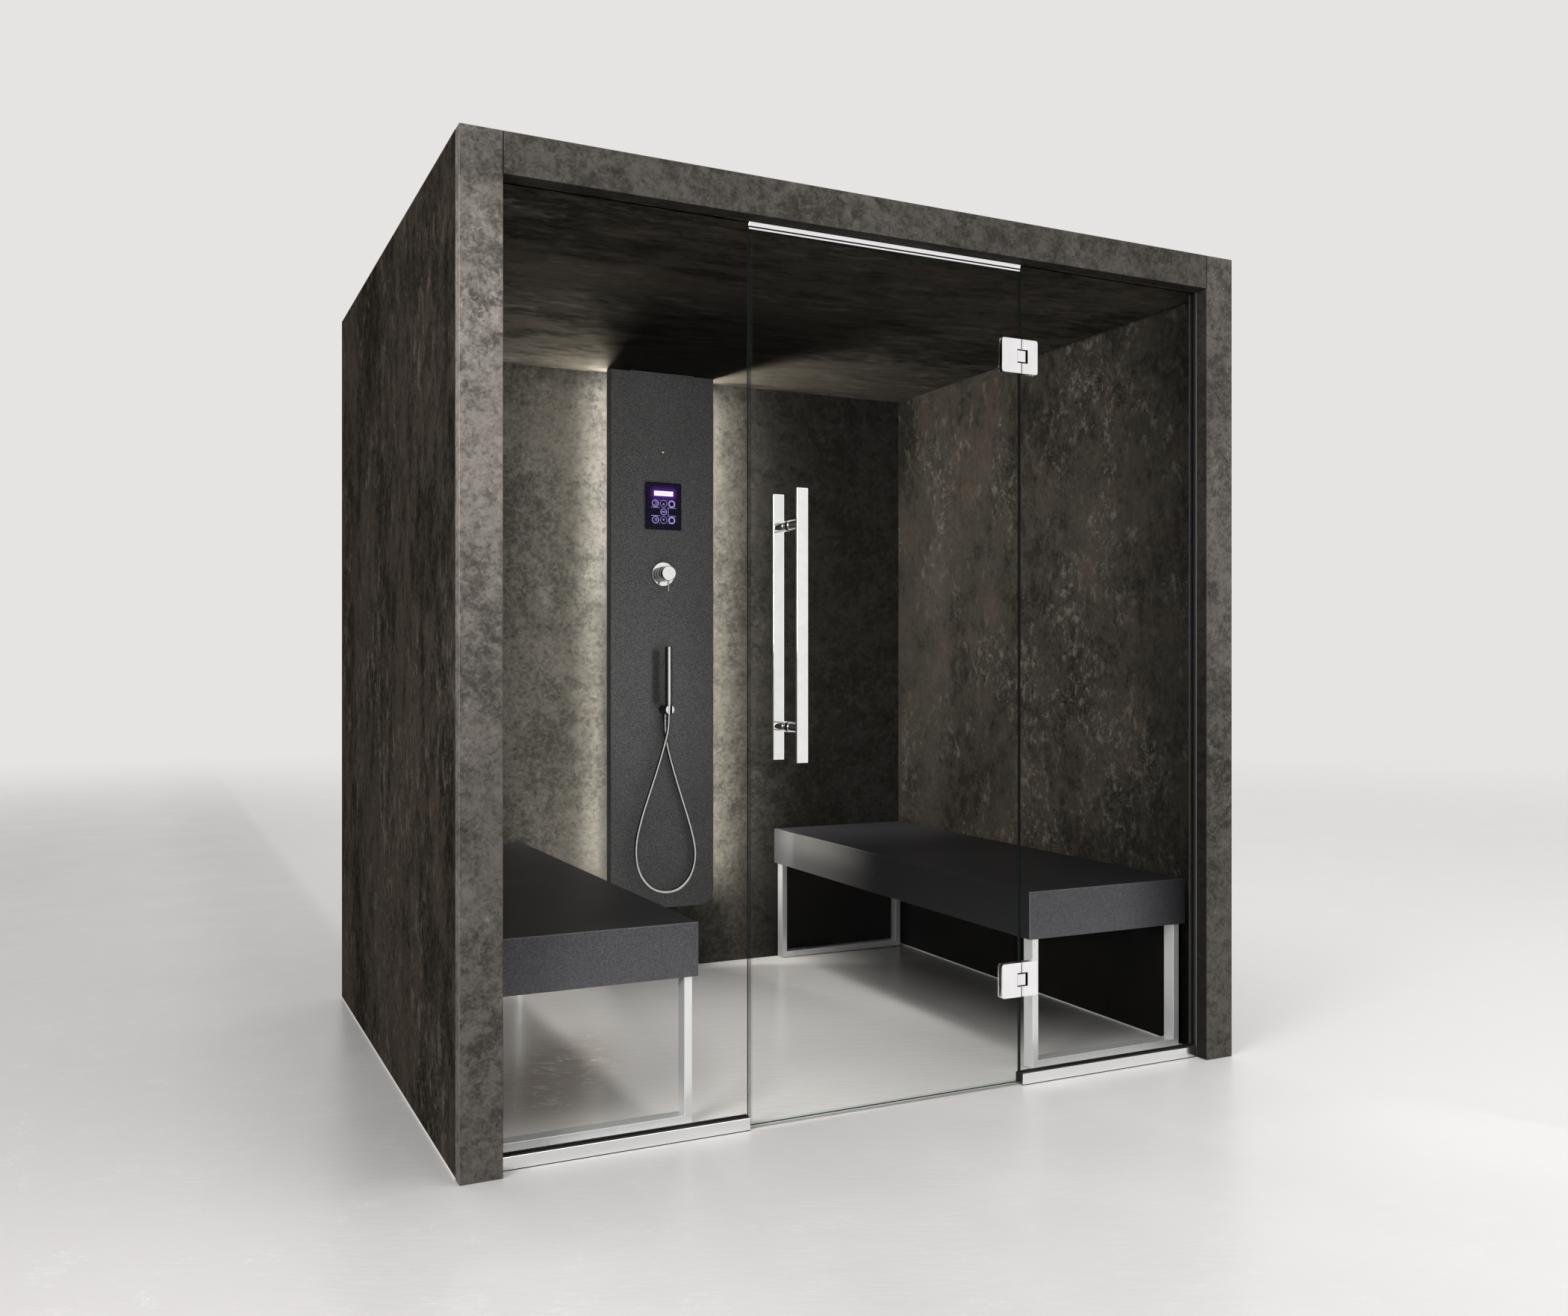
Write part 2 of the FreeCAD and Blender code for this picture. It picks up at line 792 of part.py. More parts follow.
def lighting():
    """A channel with its diffuser on each side of the spine, behind the cover's edge."""
    z_span = (spine_bottom + led_end_gap, ceiling_z - led_end_gap)
    y_mid = column_back + column_standoff / 2
    inner_width = led_profile_width - 2 * led_profile_wall
    base = spine_width / 2
    mouth = base + led_profile_depth
    profiles = []
    diffusers = []
    for place in (lambda span: span, mirrored):
        body = block(place((base, mouth)), around(y_mid, led_profile_width), z_span)
        hollow = place((base + led_profile_wall, mouth + cut_overrun))
        profiles.append(body.cut(block(hollow, around(y_mid, inner_width), z_span)))
        cover_x = place((mouth - led_profile_wall, mouth))
        diffusers.append(block(cover_x, around(y_mid, inner_width), z_span))
    save(Part.makeCompound(profiles), "led_profiles")
    save(Part.makeCompound(diffusers), "led_diffusers")


def keypad():
    """The glass keypad on its rim, with the control's box behind it in the column."""
    rim_y = (column_front - keypad_rim_thickness, column_front)
    glass_y = (rim_y[0] - keypad_glass_thickness, rim_y[0])
    z_span = around(keypad_centre_height, keypad_height)
    glass = rounded_plate(around(0, keypad_width), glass_y, z_span, keypad_corner)
    save(glass, "keypad_glass")
    rim = rounded_plate(
        around(0, keypad_width - 2 * keypad_rim_inset),
        rim_y,
        around(keypad_centre_height, keypad_height - 2 * keypad_rim_inset),
        keypad_corner - keypad_rim_inset,
    )
    box = block(
        around(0, keypad_box_width),
        (column_front, column_front + keypad_box_depth),
        around(keypad_centre_height, keypad_box_height),
    )
    save(union([rim, box]), "keypad_housing")


def sensor():
    """The temperature sensor's button and its stem through the cover."""
    face = column_front - sensor_proud
    button = outward(0, sensor_height, (face, column_front), sensor_radius)
    rim = [edge for edge in button.Edges if edge.BoundBox.YMax < face + sensor_proud / 2]
    button = button.makeFillet(sensor_proud / 2, rim)
    stem_y = (column_front, column_front + sensor_stem_length)
    save(union([button, outward(0, sensor_height, stem_y, sensor_stem_radius)]), "temperature_sensor")


def mixer():
    """Rosette, valve with cartridge, the dome that turns, and the cap and lever that also tilt."""
    rosette_y = (column_front - rosette_thickness, column_front)
    rosette = outward(0, mixer_height, rosette_y, rosette_radius)
    rim = [edge for edge in rosette.Edges if edge.BoundBox.YMax < rosette_y[0] + rosette_edge / 2]
    rosette = rosette.makeChamfer(rosette_edge, rim)
    pivot_y = column_front - mixer_pivot_out
    sleeve_y = (pivot_y + mixer_sleeve_end_gap, column_front)
    trim = union([rosette, outward(0, mixer_height, sleeve_y, mixer_radius)])
    bore_y = (sleeve_y[0], column_front)
    save(trim.cut(outward(0, mixer_height, bore_y, valve_radius + valve_clearance)), "mixer_rosette")

    nose_y = column_front - valve_nose_out
    block_y = around(services_y, valve_block_depth)
    body = union([
        outward(0, mixer_height, (nose_y, block_y[0]), valve_radius),
        block(around(0, valve_block), block_y, around(mixer_height, valve_block)),
    ])
    cartridge_y = (nose_y, nose_y + cartridge_length)
    seat = outward(0, mixer_height, cartridge_y, cartridge_radius + cartridge_clearance)
    save(body.cut(seat), "mixer_valve")
    cartridge = outward(0, mixer_height, cartridge_y, cartridge_radius)
    stem_room = (nose_y, nose_y + stem_length + valve_clearance)
    stem_bore = outward(0, mixer_height, stem_room, stem_radius + pin_clearance)
    save(cartridge.cut(stem_bore), "mixer_cartridge")

    centre = vec(0, pivot_y, mixer_height)
    dome = Part.makeSphere(mixer_dome_radius, centre)
    dome = dome.common(outward(0, mixer_height, (pivot_y - mixer_radius, pivot_y), mixer_radius))
    collar_y = (pivot_y, nose_y - valve_clearance)
    stem_y = (nose_y - valve_clearance, nose_y + stem_length)
    carrier = union([
        dome,
        outward(0, mixer_height, collar_y, valve_radius - valve_clearance),
        outward(0, mixer_height, stem_y, stem_radius),
    ])
    save(carrier, "mixer_dome")

    cap_y = (column_front - mixer_proud, pivot_y - mixer_cap_setback)
    cap = outward(0, mixer_height, cap_y, mixer_radius)
    rim = [edge for edge in cap.Edges if edge.BoundBox.YMax < cap_y[0] + mixer_cap_edge / 2]
    cap = cap.makeFillet(mixer_cap_edge, rim)
    cap = cap.cut(Part.makeSphere(mixer_dome_radius + mixer_dome_clearance, centre))
    lever_y = cap_y[0] + lever_from_front
    lever_z = (mixer_height - mixer_radius - lever_length, mixer_height - mixer_radius + lever_seat)
    socket_z = (lever_z[0], lever_z[1] + lever_fit)
    save(cap.cut(upright(0, lever_y, socket_z, lever_radius + lever_fit)), "mixer_cap")
    lever = upright(0, lever_y, lever_z, lever_radius)
    tip = [edge for edge in lever.Edges if edge.BoundBox.ZMax < lever_z[0] + lever_radius / 2]
    save(lever.makeFillet(lever_radius / 2, tip), "mixer_lever")


def hose_cone(top_z, bottom_z, top_radius, bottom_radius):
    return Part.makeCone(bottom_radius, top_radius, top_z - bottom_z, vec(0, handset_y, bottom_z))


def shower_holder():
    """The round holder with its slotted cone seat, the outlet under it and the pipe behind."""
    holder_y = (column_front - holder_length, column_front)
    body = outward(0, holder_height, holder_y, holder_radius)
    rim = [edge for edge in body.Edges if edge.BoundBox.YMax < holder_y[0] + holder_edge / 2]
    body = body.makeFillet(holder_edge, rim)
    outlet = upright(0, outlet_y, (holder_height - outlet_drop, holder_height), outlet_radius)
    tail = outward(0, holder_height, (column_front, services_y - elbow_block / 2), pipe_radius)
    elbow_z = around(holder_height, elbow_block)
    elbow = block(around(0, elbow_block), around(services_y, elbow_block), elbow_z)
    body = union([body, outlet, tail, elbow])
    taper = (cone_top_radius - cone_bottom_radius) / (handset_bottom - cone_bottom)
    seat_low = cone_bottom - cut_overrun
    seat_high = handset_bottom + cut_overrun
    seat = hose_cone(
        seat_high,
        seat_low,
        cone_top_radius + cone_clearance + taper * cut_overrun,
        cone_bottom_radius + cone_clearance - taper * cut_overrun,
    )
    slot_y = (holder_y[0] - cut_overrun, handset_y)
    slot_z = (holder_height - holder_radius - cut_overrun, holder_height + holder_radius + cut_overrun)
    return body.cut(seat).cut(block(around(0, slot_width), slot_y, slot_z))


def shower():
    """Holder, handset with its cone, and the nut that the hose leaves the outlet by."""
    save(shower_holder(), "shower_holder")
    cone = hose_cone(handset_bottom, cone_bottom, cone_top_radius, cone_bottom_radius)
    save(cone, "handset_cone")
    handset_z = (handset_bottom, handset_bottom + handset_length)
    handset = upright(0, handset_y, handset_z, handset_radius)
    rings = [edge for edge in handset.Edges if len(edge.Vertexes) == 1]
    save(handset.makeFillet(handset_edge, rings), "shower_handset")
    nut_z = (hose_nut_bottom, hose_nut_bottom + hose_nut_length)
    nut = upright(0, outlet_y, nut_z, hose_nut_radius)
    rings = [edge for edge in nut.Edges if len(edge.Vertexes) == 1]
    save(nut.makeChamfer(holder_edge, rings), "hose_nut")


def hose():
    """The hanging hose: straight runs joined by tangent arcs, swept with a round section."""
    points = [vec(x, column_front - out, holder_height - drop) for x, out, drop in hose_points]
    edges = []
    radii = []
    start = points[0]
    for before, corner, after in zip(points[:-2], points[1:-1], points[2:]):
        entry = corner - before
        leave = after - corner
        turn = entry.getAngle(leave)
        reach = 0.45 * min(entry.Length, leave.Length)
        radii.append(reach / math.tan(turn / 2))
        entry.normalize()
        leave.normalize()
        arc_start = corner - entry * reach
        arc_end = corner + leave * reach
        inward = (leave - entry).normalize()
        sagitta = radii[-1] / math.cos(turn / 2) - radii[-1]
        middle = corner + inward * sagitta
        edges.append(Part.LineSegment(start, arc_start).toShape())
        edges.append(Part.Arc(arc_start, middle, arc_end).toShape())
        start = arc_end
    edges.append(Part.LineSegment(start, points[-1]).toShape())
    path = Part.Wire(edges)
    first = points[1] - points[0]
    section = Part.Wire([Part.Circle(points[0], first, hose_radius).toShape()])
    tube = path.makePipeShell([section], True, True)
    area = math.pi * hose_radius ** 2
    print("hose length", round(path.Length, 1), "least radius", round(min(radii), 1))
    print("hose radii", [round(radius) for radius in radii])
    print("hose volume over section times length", round(tube.Volume / (area * path.Length), 4))
    save(tube, "shower_hose")


def riser(x, low, radius):
    """A pipe that stands up through the roof: a collar on the roof, and a plain stub above it."""
    collar_top = roof_z + roof_collar_height
    pipe = upright(x, services_y, (low, collar_top + roof_stub), radius)
    collar = upright(x, services_y, (roof_z, collar_top), radius + roof_collar_step)
    return union([pipe, collar])


def pipes():
    """Hot and cold supplies to the valve, its outlet pipe, and the steam pipe."""
    supplies = []
    for side in pipe_sides():
        inner = math.copysign(valve_block / 2, side)
        x_span = (min(inner, side), max(inner, side))
        supplies.append(union([
            sideways(services_y, mixer_height, x_span, pipe_radius),
            Part.makeSphere(pipe_radius, vec(side, services_y, mixer_height)),
            riser(side, mixer_height, pipe_radius),
        ]))
    outlet_z = (holder_height + elbow_block / 2, mixer_height - valve_block / 2)
    supplies.append(upright(0, services_y, outlet_z, pipe_radius))
    save(Part.makeCompound(supplies), "supply_pipes")

    steam = riser(steam_pipe_side, steam_floor_height, steam_pipe_radius)
    collar_z = (steam_floor_height, steam_floor_height + steam_collar_height)
    collar = upright(steam_pipe_side, services_y, collar_z, steam_collar_radius)
    bore_z = (steam_floor_height - cut_overrun, cabin_height + cut_overrun)
    bore = upright(steam_pipe_side, services_y, bore_z, steam_pipe_radius - steam_pipe_wall)
    save(union([steam, collar]).cut(bore), "steam_pipe")


def roof():
    """The lights' driver and the angle brackets that tie the walls at the roof."""
    driver_x = (left + driver_from_left, left + driver_from_left + driver_length)
    driver_y = (back - driver_from_back - driver_width, back - driver_from_back)
    driver = block(driver_x, driver_y, (roof_z, roof_z + driver_height))
    driver = driver.makeChamfer(arris, edges_along(driver, 2, lambda point: True))
    save(driver, "light_driver")
    bracket_z = (roof_z, roof_z + bracket_height)
    brackets = []
    for place in (lambda span: span, mirrored):
        long_x = place((room_left, room_left + bracket_leg))
        short_x = place((room_left, room_left + bracket_thickness))
        front_leg = (panel_front, panel_front + bracket_thickness)
        back_leg = (room_back - bracket_thickness, room_back)
        brackets.append(union([
            block(long_x, front_leg, bracket_z),
            block(short_x, (panel_front, panel_front + bracket_leg), bracket_z),
        ]))
        brackets.append(union([
            block(long_x, back_leg, bracket_z),
            block(short_x, (room_back - bracket_leg, room_back), bracket_z),
        ]))
    save(Part.makeCompound(brackets), "roof_brackets")


shell()
portal()
glazing()
header()
hinges()
door_glass()
door_seals()
handle()
benches()
column()
lighting()
keypad()
sensor()
mixer()
shower()
hose()
pipes()
roof()
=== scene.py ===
# %% [markdown]
# # A steam cabin in stone, glass and chrome
# The cabin's solids come from a CAD model: they fix every size, and they stay where they are.
# This lesson dresses them. Each cell makes one kind of piece or one finish, and says why it is
# made that way.

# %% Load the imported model
import math

import bmesh
import bpy
import numpy as np
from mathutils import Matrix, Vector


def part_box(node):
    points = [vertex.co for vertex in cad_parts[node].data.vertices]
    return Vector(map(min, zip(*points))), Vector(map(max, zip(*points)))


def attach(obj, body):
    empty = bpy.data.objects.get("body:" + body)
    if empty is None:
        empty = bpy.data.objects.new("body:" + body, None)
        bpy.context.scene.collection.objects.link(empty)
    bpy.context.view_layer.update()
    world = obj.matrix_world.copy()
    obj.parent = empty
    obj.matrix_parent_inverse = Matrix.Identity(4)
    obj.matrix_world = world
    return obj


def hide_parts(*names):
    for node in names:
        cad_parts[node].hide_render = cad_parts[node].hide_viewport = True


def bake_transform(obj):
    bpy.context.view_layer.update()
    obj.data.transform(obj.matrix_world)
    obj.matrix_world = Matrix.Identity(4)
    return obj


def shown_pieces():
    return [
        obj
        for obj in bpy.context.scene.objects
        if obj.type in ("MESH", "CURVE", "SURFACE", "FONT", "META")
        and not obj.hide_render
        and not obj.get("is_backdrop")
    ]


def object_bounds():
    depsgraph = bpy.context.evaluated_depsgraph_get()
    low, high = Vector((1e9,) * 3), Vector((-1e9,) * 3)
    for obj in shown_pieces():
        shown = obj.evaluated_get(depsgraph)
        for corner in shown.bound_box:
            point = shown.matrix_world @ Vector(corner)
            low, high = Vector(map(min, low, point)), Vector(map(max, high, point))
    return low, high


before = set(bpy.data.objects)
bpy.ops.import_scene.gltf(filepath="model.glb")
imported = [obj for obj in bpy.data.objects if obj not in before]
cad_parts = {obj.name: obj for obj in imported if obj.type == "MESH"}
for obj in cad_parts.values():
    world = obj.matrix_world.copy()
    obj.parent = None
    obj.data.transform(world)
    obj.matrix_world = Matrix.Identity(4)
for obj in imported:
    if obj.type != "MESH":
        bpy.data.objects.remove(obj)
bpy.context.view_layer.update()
scene = bpy.context.scene
MM = 0.001

# %% [markdown]
# ## The camera
# The picture was taken from the left of the cabin, at chest height, with a level camera, so upright
# edges stay upright. A level camera that looks a little off centre is one turn about Z and a small
# lens shift, which is how an architectural photographer would do it.

# %% Camera
camera_data = bpy.data.cameras.new("camera")
camera_data.sensor_width = 36
camera_data.lens = 30.58
camera_data.shift_y = 0.0072
camera = bpy.data.objects.new("camera", camera_data)
camera.location = (-1.6959, -3.7257, 1.0931)
camera.rotation_euler = (math.radians(90), 0, math.radians(-25.874))
scene.collection.objects.link(camera)
scene.camera = camera
print("camera at", [round(v, 2) for v in camera.location], "lens", camera_data.lens, "mm")

# %% [markdown]
# ## From arrays to a mesh
# Every new piece is a grid of points worked out with numpy. A grid of rows and columns becomes
# quads by pairing each point with its neighbours, and this works on whole arrays at once.
# Merging doubles closes seams and poles, and recalculating the normals makes every face look out.

# %% Mesh helpers
MERGE = 1e-6  # points closer than this, in metres, become one


def grid_faces(rows, columns, closed=True):
    """Quads of a grid whose point (i, j) has number i * columns + j; closed joins last column to first."""
    i, j = np.meshgrid(np.arange(rows - 1), np.arange(columns if closed else columns - 1), indexing="ij")
    after = (j + 1) % columns
    quads = [i * columns + j, i * columns + after, (i + 1) * columns + after, (i + 1) * columns + j]
    return np.stack(quads, -1).reshape(-1, 4).tolist()


def piece_from(name, points, faces, smooth_angle=40):
    """A mesh object at the origin from points in metres; edges sharper than the angle stay sharp."""
    mesh = bpy.data.meshes.new(name)
    mesh.from_pydata(np.asarray(points, float).reshape(-1, 3).tolist(), [], faces)
    work = bmesh.new()
    work.from_mesh(mesh)
    bmesh.ops.remove_doubles(work, verts=work.verts, dist=MERGE)
    bmesh.ops.dissolve_degenerate(work, edges=work.edges, dist=MERGE)
    bmesh.ops.recalc_face_normals(work, faces=work.faces)
    work.to_mesh(mesh)
    work.free()
    mesh.shade_smooth()
    mesh.set_sharp_from_angle(angle=math.radians(smooth_angle))
    piece = bpy.data.objects.new(name, mesh)
    scene.collection.objects.link(piece)
    return piece


def joined(parts):
    """One set of points and faces from several: each part's numbers move up by the points before it."""
    points, faces, count = [], [], 0
    for part_points, part_faces in parts:
        part_points = np.asarray(part_points, float).reshape(-1, 3)
        points.append(part_points)
        faces += [[number + count for number in face] for face in part_faces]
        count += len(part_points)
    return np.concatenate(points), faces


def stands_for(piece, body, slot, *nodes):
    """The piece rides on a body and replaces CAD nodes, which it hides; its slot is not used."""
    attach(piece, body)
    if nodes:
        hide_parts(*nodes)
    return piece


print("mesh helpers ready")

# %% [markdown]
# ## Two ways to make a solid
# Most of the cabin is either flat stock with softened edges (posts, benches, glass, plates) or
# turned metal (mixer, standoffs, hand shower). So two surfaces cover nearly everything: an outline
# carried up through layers that step inwards at its ends, and a profile turned about an axis.

# %% Outlines and layers
def rounded_rectangle(a_span, b_span, corners=0.0, steps=8):
    """Closed outline, counter-clockwise from the low corner; each corner is a quarter circle."""
    radii = np.broadcast_to(np.asarray(corners, float), 4)
    (a0, a1), (b0, b1) = a_span, b_span
    outline = []
    for k, (a, b) in enumerate(((a0, b0), (a1, b0), (a1, b1), (a0, b1))):
        radius = radii[k]
        if radius > 0:
            inner = np.array([a + (radius if a == a0 else -radius), b + (radius if b == b0 else -radius)])
            turn = np.radians(180 + 90 * k + np.linspace(0, 90, steps + 1))
            outline.append(inner + radius * np.stack([np.cos(turn), np.sin(turn)], 1))
        else:
            outline.append(np.array([[a, b]], float))
    return np.concatenate(outline)


def mitres(outline):
    """For each corner, the step inwards that moves both its sides by one: (n1 + n2) / (1 + n1 . n2)."""
    side = np.roll(outline, -1, 0) - outline
    side /= np.linalg.norm(side, axis=1, keepdims=True)
    inward = np.stack([-side[:, 1], side[:, 0]], 1)
    before = np.roll(inward, 1, 0)
    return (before + inward) / (1 + (before * inward).sum(1, keepdims=True))


def soft_ends(low, high, radius, steps=3):
    """Layers (inset, height) with quarter-round rims: inset r (1 - sin t), height low + r (1 - cos t)."""
    t = np.linspace(0, np.pi / 2, steps + 1)
    inset, rise = radius * (1 - np.sin(t)), radius * (1 - np.cos(t))
    return [*zip(inset, low + rise), *zip(inset[::-1], high - rise[::-1])]


def layered(outline, layers, order=(0, 1, 2)):
    """Closed body: point (i, j) = outline_j + inset_i * mitre_j at height_i.

    The order says on which of x, y and z the outline's a and b and the height are put.
    """
    inset, height = np.array(layers, float).T
    rims = outline[None] + inset[:, None, None] * mitres(outline)[None]
    flat = np.concatenate([rims, np.broadcast_to(height[:, None, None], (*rims.shape[:2], 1))], 2)
    points = np.empty_like(flat)
    points[..., list(order)] = flat
    rows, columns = flat.shape[:2]
    caps = [list(range(columns))[::-1], list(range((rows - 1) * columns, rows * columns))]
    return points.reshape(-1, 3), grid_faces(rows, columns) + caps


def soft_box(x_span, y_span, z_span, radius):
    """A box whose twelve edges are rounded: a round-cornered outline with quarter-round rims."""
    return layered(rounded_rectangle(x_span, y_span, radius * 1.02, 4), soft_ends(*z_span, radius, 3))


def keep_flats(piece):
    """Weighted normals keep large flat faces flat in shading, so only the rounded rims catch light."""
    weighted = piece.modifiers.new("flats", "WEIGHTED_NORMAL")
    weighted.keep_sharp = True
    weighted.weight = 60
    return piece


print("outlines and layers ready")

# %% Turned surfaces
def turned(profile, origin, direction=(0, 0, 1), segments=48):
    """Profile (radius, height) round an axis: origin + height * direction + radius * (u cos t + v sin t)."""
    radius, height = np.array(profile, float).T
    axis = np.array(direction, float) / np.linalg.norm(direction)
    helper = np.array([1.0, 0, 0]) if abs(axis[0]) < 0.9 else np.array([0, 1.0, 0])
    u = np.cross(axis, helper)
    u /= np.linalg.norm(u)
    v = np.cross(axis, u)
    t = np.linspace(0, 2 * np.pi, segments, endpoint=False)
    ring = np.cos(t)[:, None] * u + np.sin(t)[:, None] * v
    points = np.array(origin) + height[:, None, None] * axis + radius[:, None, None] * ring[None]
    return points.reshape(-1, 3), grid_faces(len(radius), segments)


def quarter(centre_r, centre_h, radius, start, end, steps=5):
    """Points of an arc in a profile: (r, h) = centre + radius * (cos a, sin a), angles in degrees."""
    a = np.radians(np.linspace(start, end, steps + 1))
    return [*zip(centre_r + radius * np.cos(a), centre_h + radius * np.sin(a))]


def foot_rim(radius, low, edge, steps=4):
    """The rounded lower rim of a profile, from the flat end out to the side."""
    return quarter(radius - edge, low + edge, edge, -90, 0, steps)


def top_rim(radius, high, edge, steps=4):
    """The rounded upper rim of a profile, from the side in to the flat end."""
    return quarter(radius - edge, high - edge, edge, 0, 90, steps)


def groove(radius, start, depth, ramp, flat):
    """Four points of a profile: down a ramp from the start, along the flat bottom and up again."""
    inner, bottom = radius - depth, start + ramp
    return [(radius, start), (inner, bottom), (inner, bottom + flat), (radius, bottom + flat + ramp)]


print("turned surfaces ready")

# %% [markdown]
# ## The hose
# A shower hose hangs in a loop under its own weight. Its line is a NURBS curve: the points are chosen
# from the picture, and the curve passes smoothly near them, as a stiff hose does.
# The hose itself is a tube of wound steel strip, so its radius dips along a fine helix. That needs
# a mesh, which follows points read from the curve.

# %% Hose route
COLUMN_FACE = 769
HOSE_RADIUS = 6.5
# each point: across the column, out from its face, height above the floor, in millimetres
hose_points = [
    (0, 22, 906), (0, 22, 862), (12, 23, 800), (36, 25, 715), (66, 27, 620), (98, 29, 520),
    (117, 31, 430), (98, 34, 350), (48, 37, 303), (-14, 40, 297), (-70, 43, 322), (-112, 46, 384),
    (-122, 49, 470), (-102, 52, 560), (-70, 54, 655), (-36, 57, 755), (-10, 59, 845), (0, 60, 889),
    (0, 60, 932),
]
route_data = bpy.data.curves.new("hose_route", "CURVE")
route_data.dimensions = "3D"
route_data.resolution_u = 24
route_line = route_data.splines.new("NURBS")
route_line.points.add(len(hose_points) - 1)
route_line.points.foreach_set(
    "co", [c for x, out, z in hose_points for c in (x * MM, (COLUMN_FACE - out) * MM, z * MM, 1)]
)
route_line.order_u = 3
route_line.use_endpoint_u = True
route = bpy.data.objects.new("hose_route", route_data)
scene.collection.objects.link(route)
route_mesh = bpy.data.meshes.new_from_object(route)
route_points = np.array([v.co for v in route_mesh.vertices]) / MM
bpy.data.objects.remove(route)
print("hose route read at", len(route_points), "points")

# %% Hose tube
HOSE_STRIP = 3.0
HOSE_GROOVE = 0.55


def hose_surface(line, spacing=0.6, around=16):
    """Tube: point (i, j) = p(s_i) + r (n cos t_j + b sin t_j); r dips where s / strip - t / 2 pi is whole."""
    steps = np.linalg.norm(np.diff(line, axis=0), axis=1)
    run = np.concatenate([[0], np.cumsum(steps)])
    s = np.linspace(0, run[-1], int(run[-1] / spacing))
    centre = np.stack([np.interp(s, run, line[:, k]) for k in range(3)], 1)
    along = np.gradient(centre, axis=0)
    along /= np.linalg.norm(along, axis=1, keepdims=True)
    outward = np.array([0, 1.0, 0]) - along * along[:, 1:2]
    outward /= np.linalg.norm(outward, axis=1, keepdims=True)
    across = np.cross(along, outward)
    t = np.linspace(0, 2 * np.pi, around, endpoint=False)
    phase = s[:, None] / HOSE_STRIP - t[None] / (2 * np.pi)
    dip = np.abs(phase - np.round(phase)) * 2
    radius = HOSE_RADIUS - HOSE_GROOVE * (1 - np.minimum(dip / 0.45, 1)) ** 2
    ring = outward[:, None] * np.cos(t)[None, :, None] + across[:, None] * np.sin(t)[None, :, None]
    points = centre[:, None] + radius[..., None] * ring
    caps = [list(range(around))[::-1], list(range((len(s) - 1) * around, len(s) * around))]
    return points.reshape(-1, 3), grid_faces(len(s), around) + caps, centre, s / run[-1]


tube_points, tube_faces, hose_line, hose_share = hose_surface(route_points)
hose = piece_from("hose_tube", tube_points * MM, tube_faces, 80)
hose_length = float(np.linalg.norm(np.diff(hose_line, axis=0), axis=1).sum()) * MM
print("hose", round(hose_length, 3), "m long,", len(hose.data.polygons), "faces")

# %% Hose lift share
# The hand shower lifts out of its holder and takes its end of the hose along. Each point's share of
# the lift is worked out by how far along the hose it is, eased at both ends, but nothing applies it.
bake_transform(hose)
share = np.repeat(hose_share, len(tube_points) // len(hose_share))
share = share * share * (3 - 2 * share)
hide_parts("shower_hose")

# %% [markdown]
# ## Posts, lintel and benches
# The portal's posts and lintel are dressed boxes with a fine arris that catches light as a pale line.
# A soft box does that: its rims are real curves, and weighted normals keep the faces flat.
# The vertex attribute called rim is 1 where the surface turns, so a finish can paint a pale highlight there.

# %% Rim attribute
TURNED_45 = 0.29  # 1 - cos 45 degrees


def mark_rims(piece):
    """Attribute rim: (1 - largest part of the normal) / (1 - cos 45), which is 1 in the middle of an edge."""
    normals = np.empty(len(piece.data.vertices) * 3)
    piece.data.vertex_normals.foreach_get("vector", normals)
    turn = (1 - np.abs(normals.reshape(-1, 3)).max(1)) / TURNED_45
    rim = piece.data.attributes.new("rim", "FLOAT", "POINT")
    rim.data.foreach_set("value", np.clip(turn, 0, 1).astype(np.float32))
    return piece


def solid(name, body, slot, parts, nodes=(), smooth_angle=40):
    """One finished piece from several closed parts given in millimetres."""
    points, faces = joined(parts)
    piece = keep_flats(mark_rims(piece_from(name, points * MM, faces, smooth_angle)))
    return stands_for(piece, body, slot, *nodes)


def spans(node):
    """The node's (low, high) on x, y and z in millimetres."""
    low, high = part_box(node)
    return [(low[k] / MM, high[k] / MM) for k in range(3)]


print("the left bench's seat spans", [tuple(round(v) for v in span) for span in spans("bench_left_seat")])

# %% Posts and lintel
POST_EDGE = 1.6
portal = [
    solid(f"{node}_dressed", "cabin", "stone_front", [soft_box(*spans(node), POST_EDGE)], [node])
    for node in ("front_post_left", "front_post_right", "front_lintel")
]
print("portal pieces:", [piece.name for piece in portal])

# %% Bench seats
SEAT_SKIN, SEAT_EDGE, LIP = 6, 3, 0.6


def tray(x_span, y_span, z_span, skin, edge, corners, order=(0, 1, 2)):
    """A folded tray: layers run down the inside, round the open lip and over the outside to the top."""
    low, high = z_span
    t = np.linspace(0, np.pi / 2, 5)
    layers = [(skin, high - skin), (skin, low), (LIP, low), (0, low + LIP)]
    layers += [*zip(edge * (1 - np.cos(t)), high - edge * (1 - np.sin(t)))]
    return layered(rounded_rectangle(x_span, y_span, corners), layers, order)


seats = [
    solid(f"bench_{side}_top", "cabin", "anthracite_bench",
          [tray(*spans(f"bench_{side}_seat"), SEAT_SKIN, SEAT_EDGE, SEAT_EDGE)], [f"bench_{side}_seat"])
    for side in ("left", "right")
]
print("bench seats:", [piece.name for piece in seats])

# %% Bench frames
TUBE_WIDTH, TUBE_DEPTH, RAIL_HEIGHT, TUBE_EDGE = 20, 40, 22, 1.2
frame_x, frame_y, frame_z = spans("bench_frames")
HALF_GAP = 499


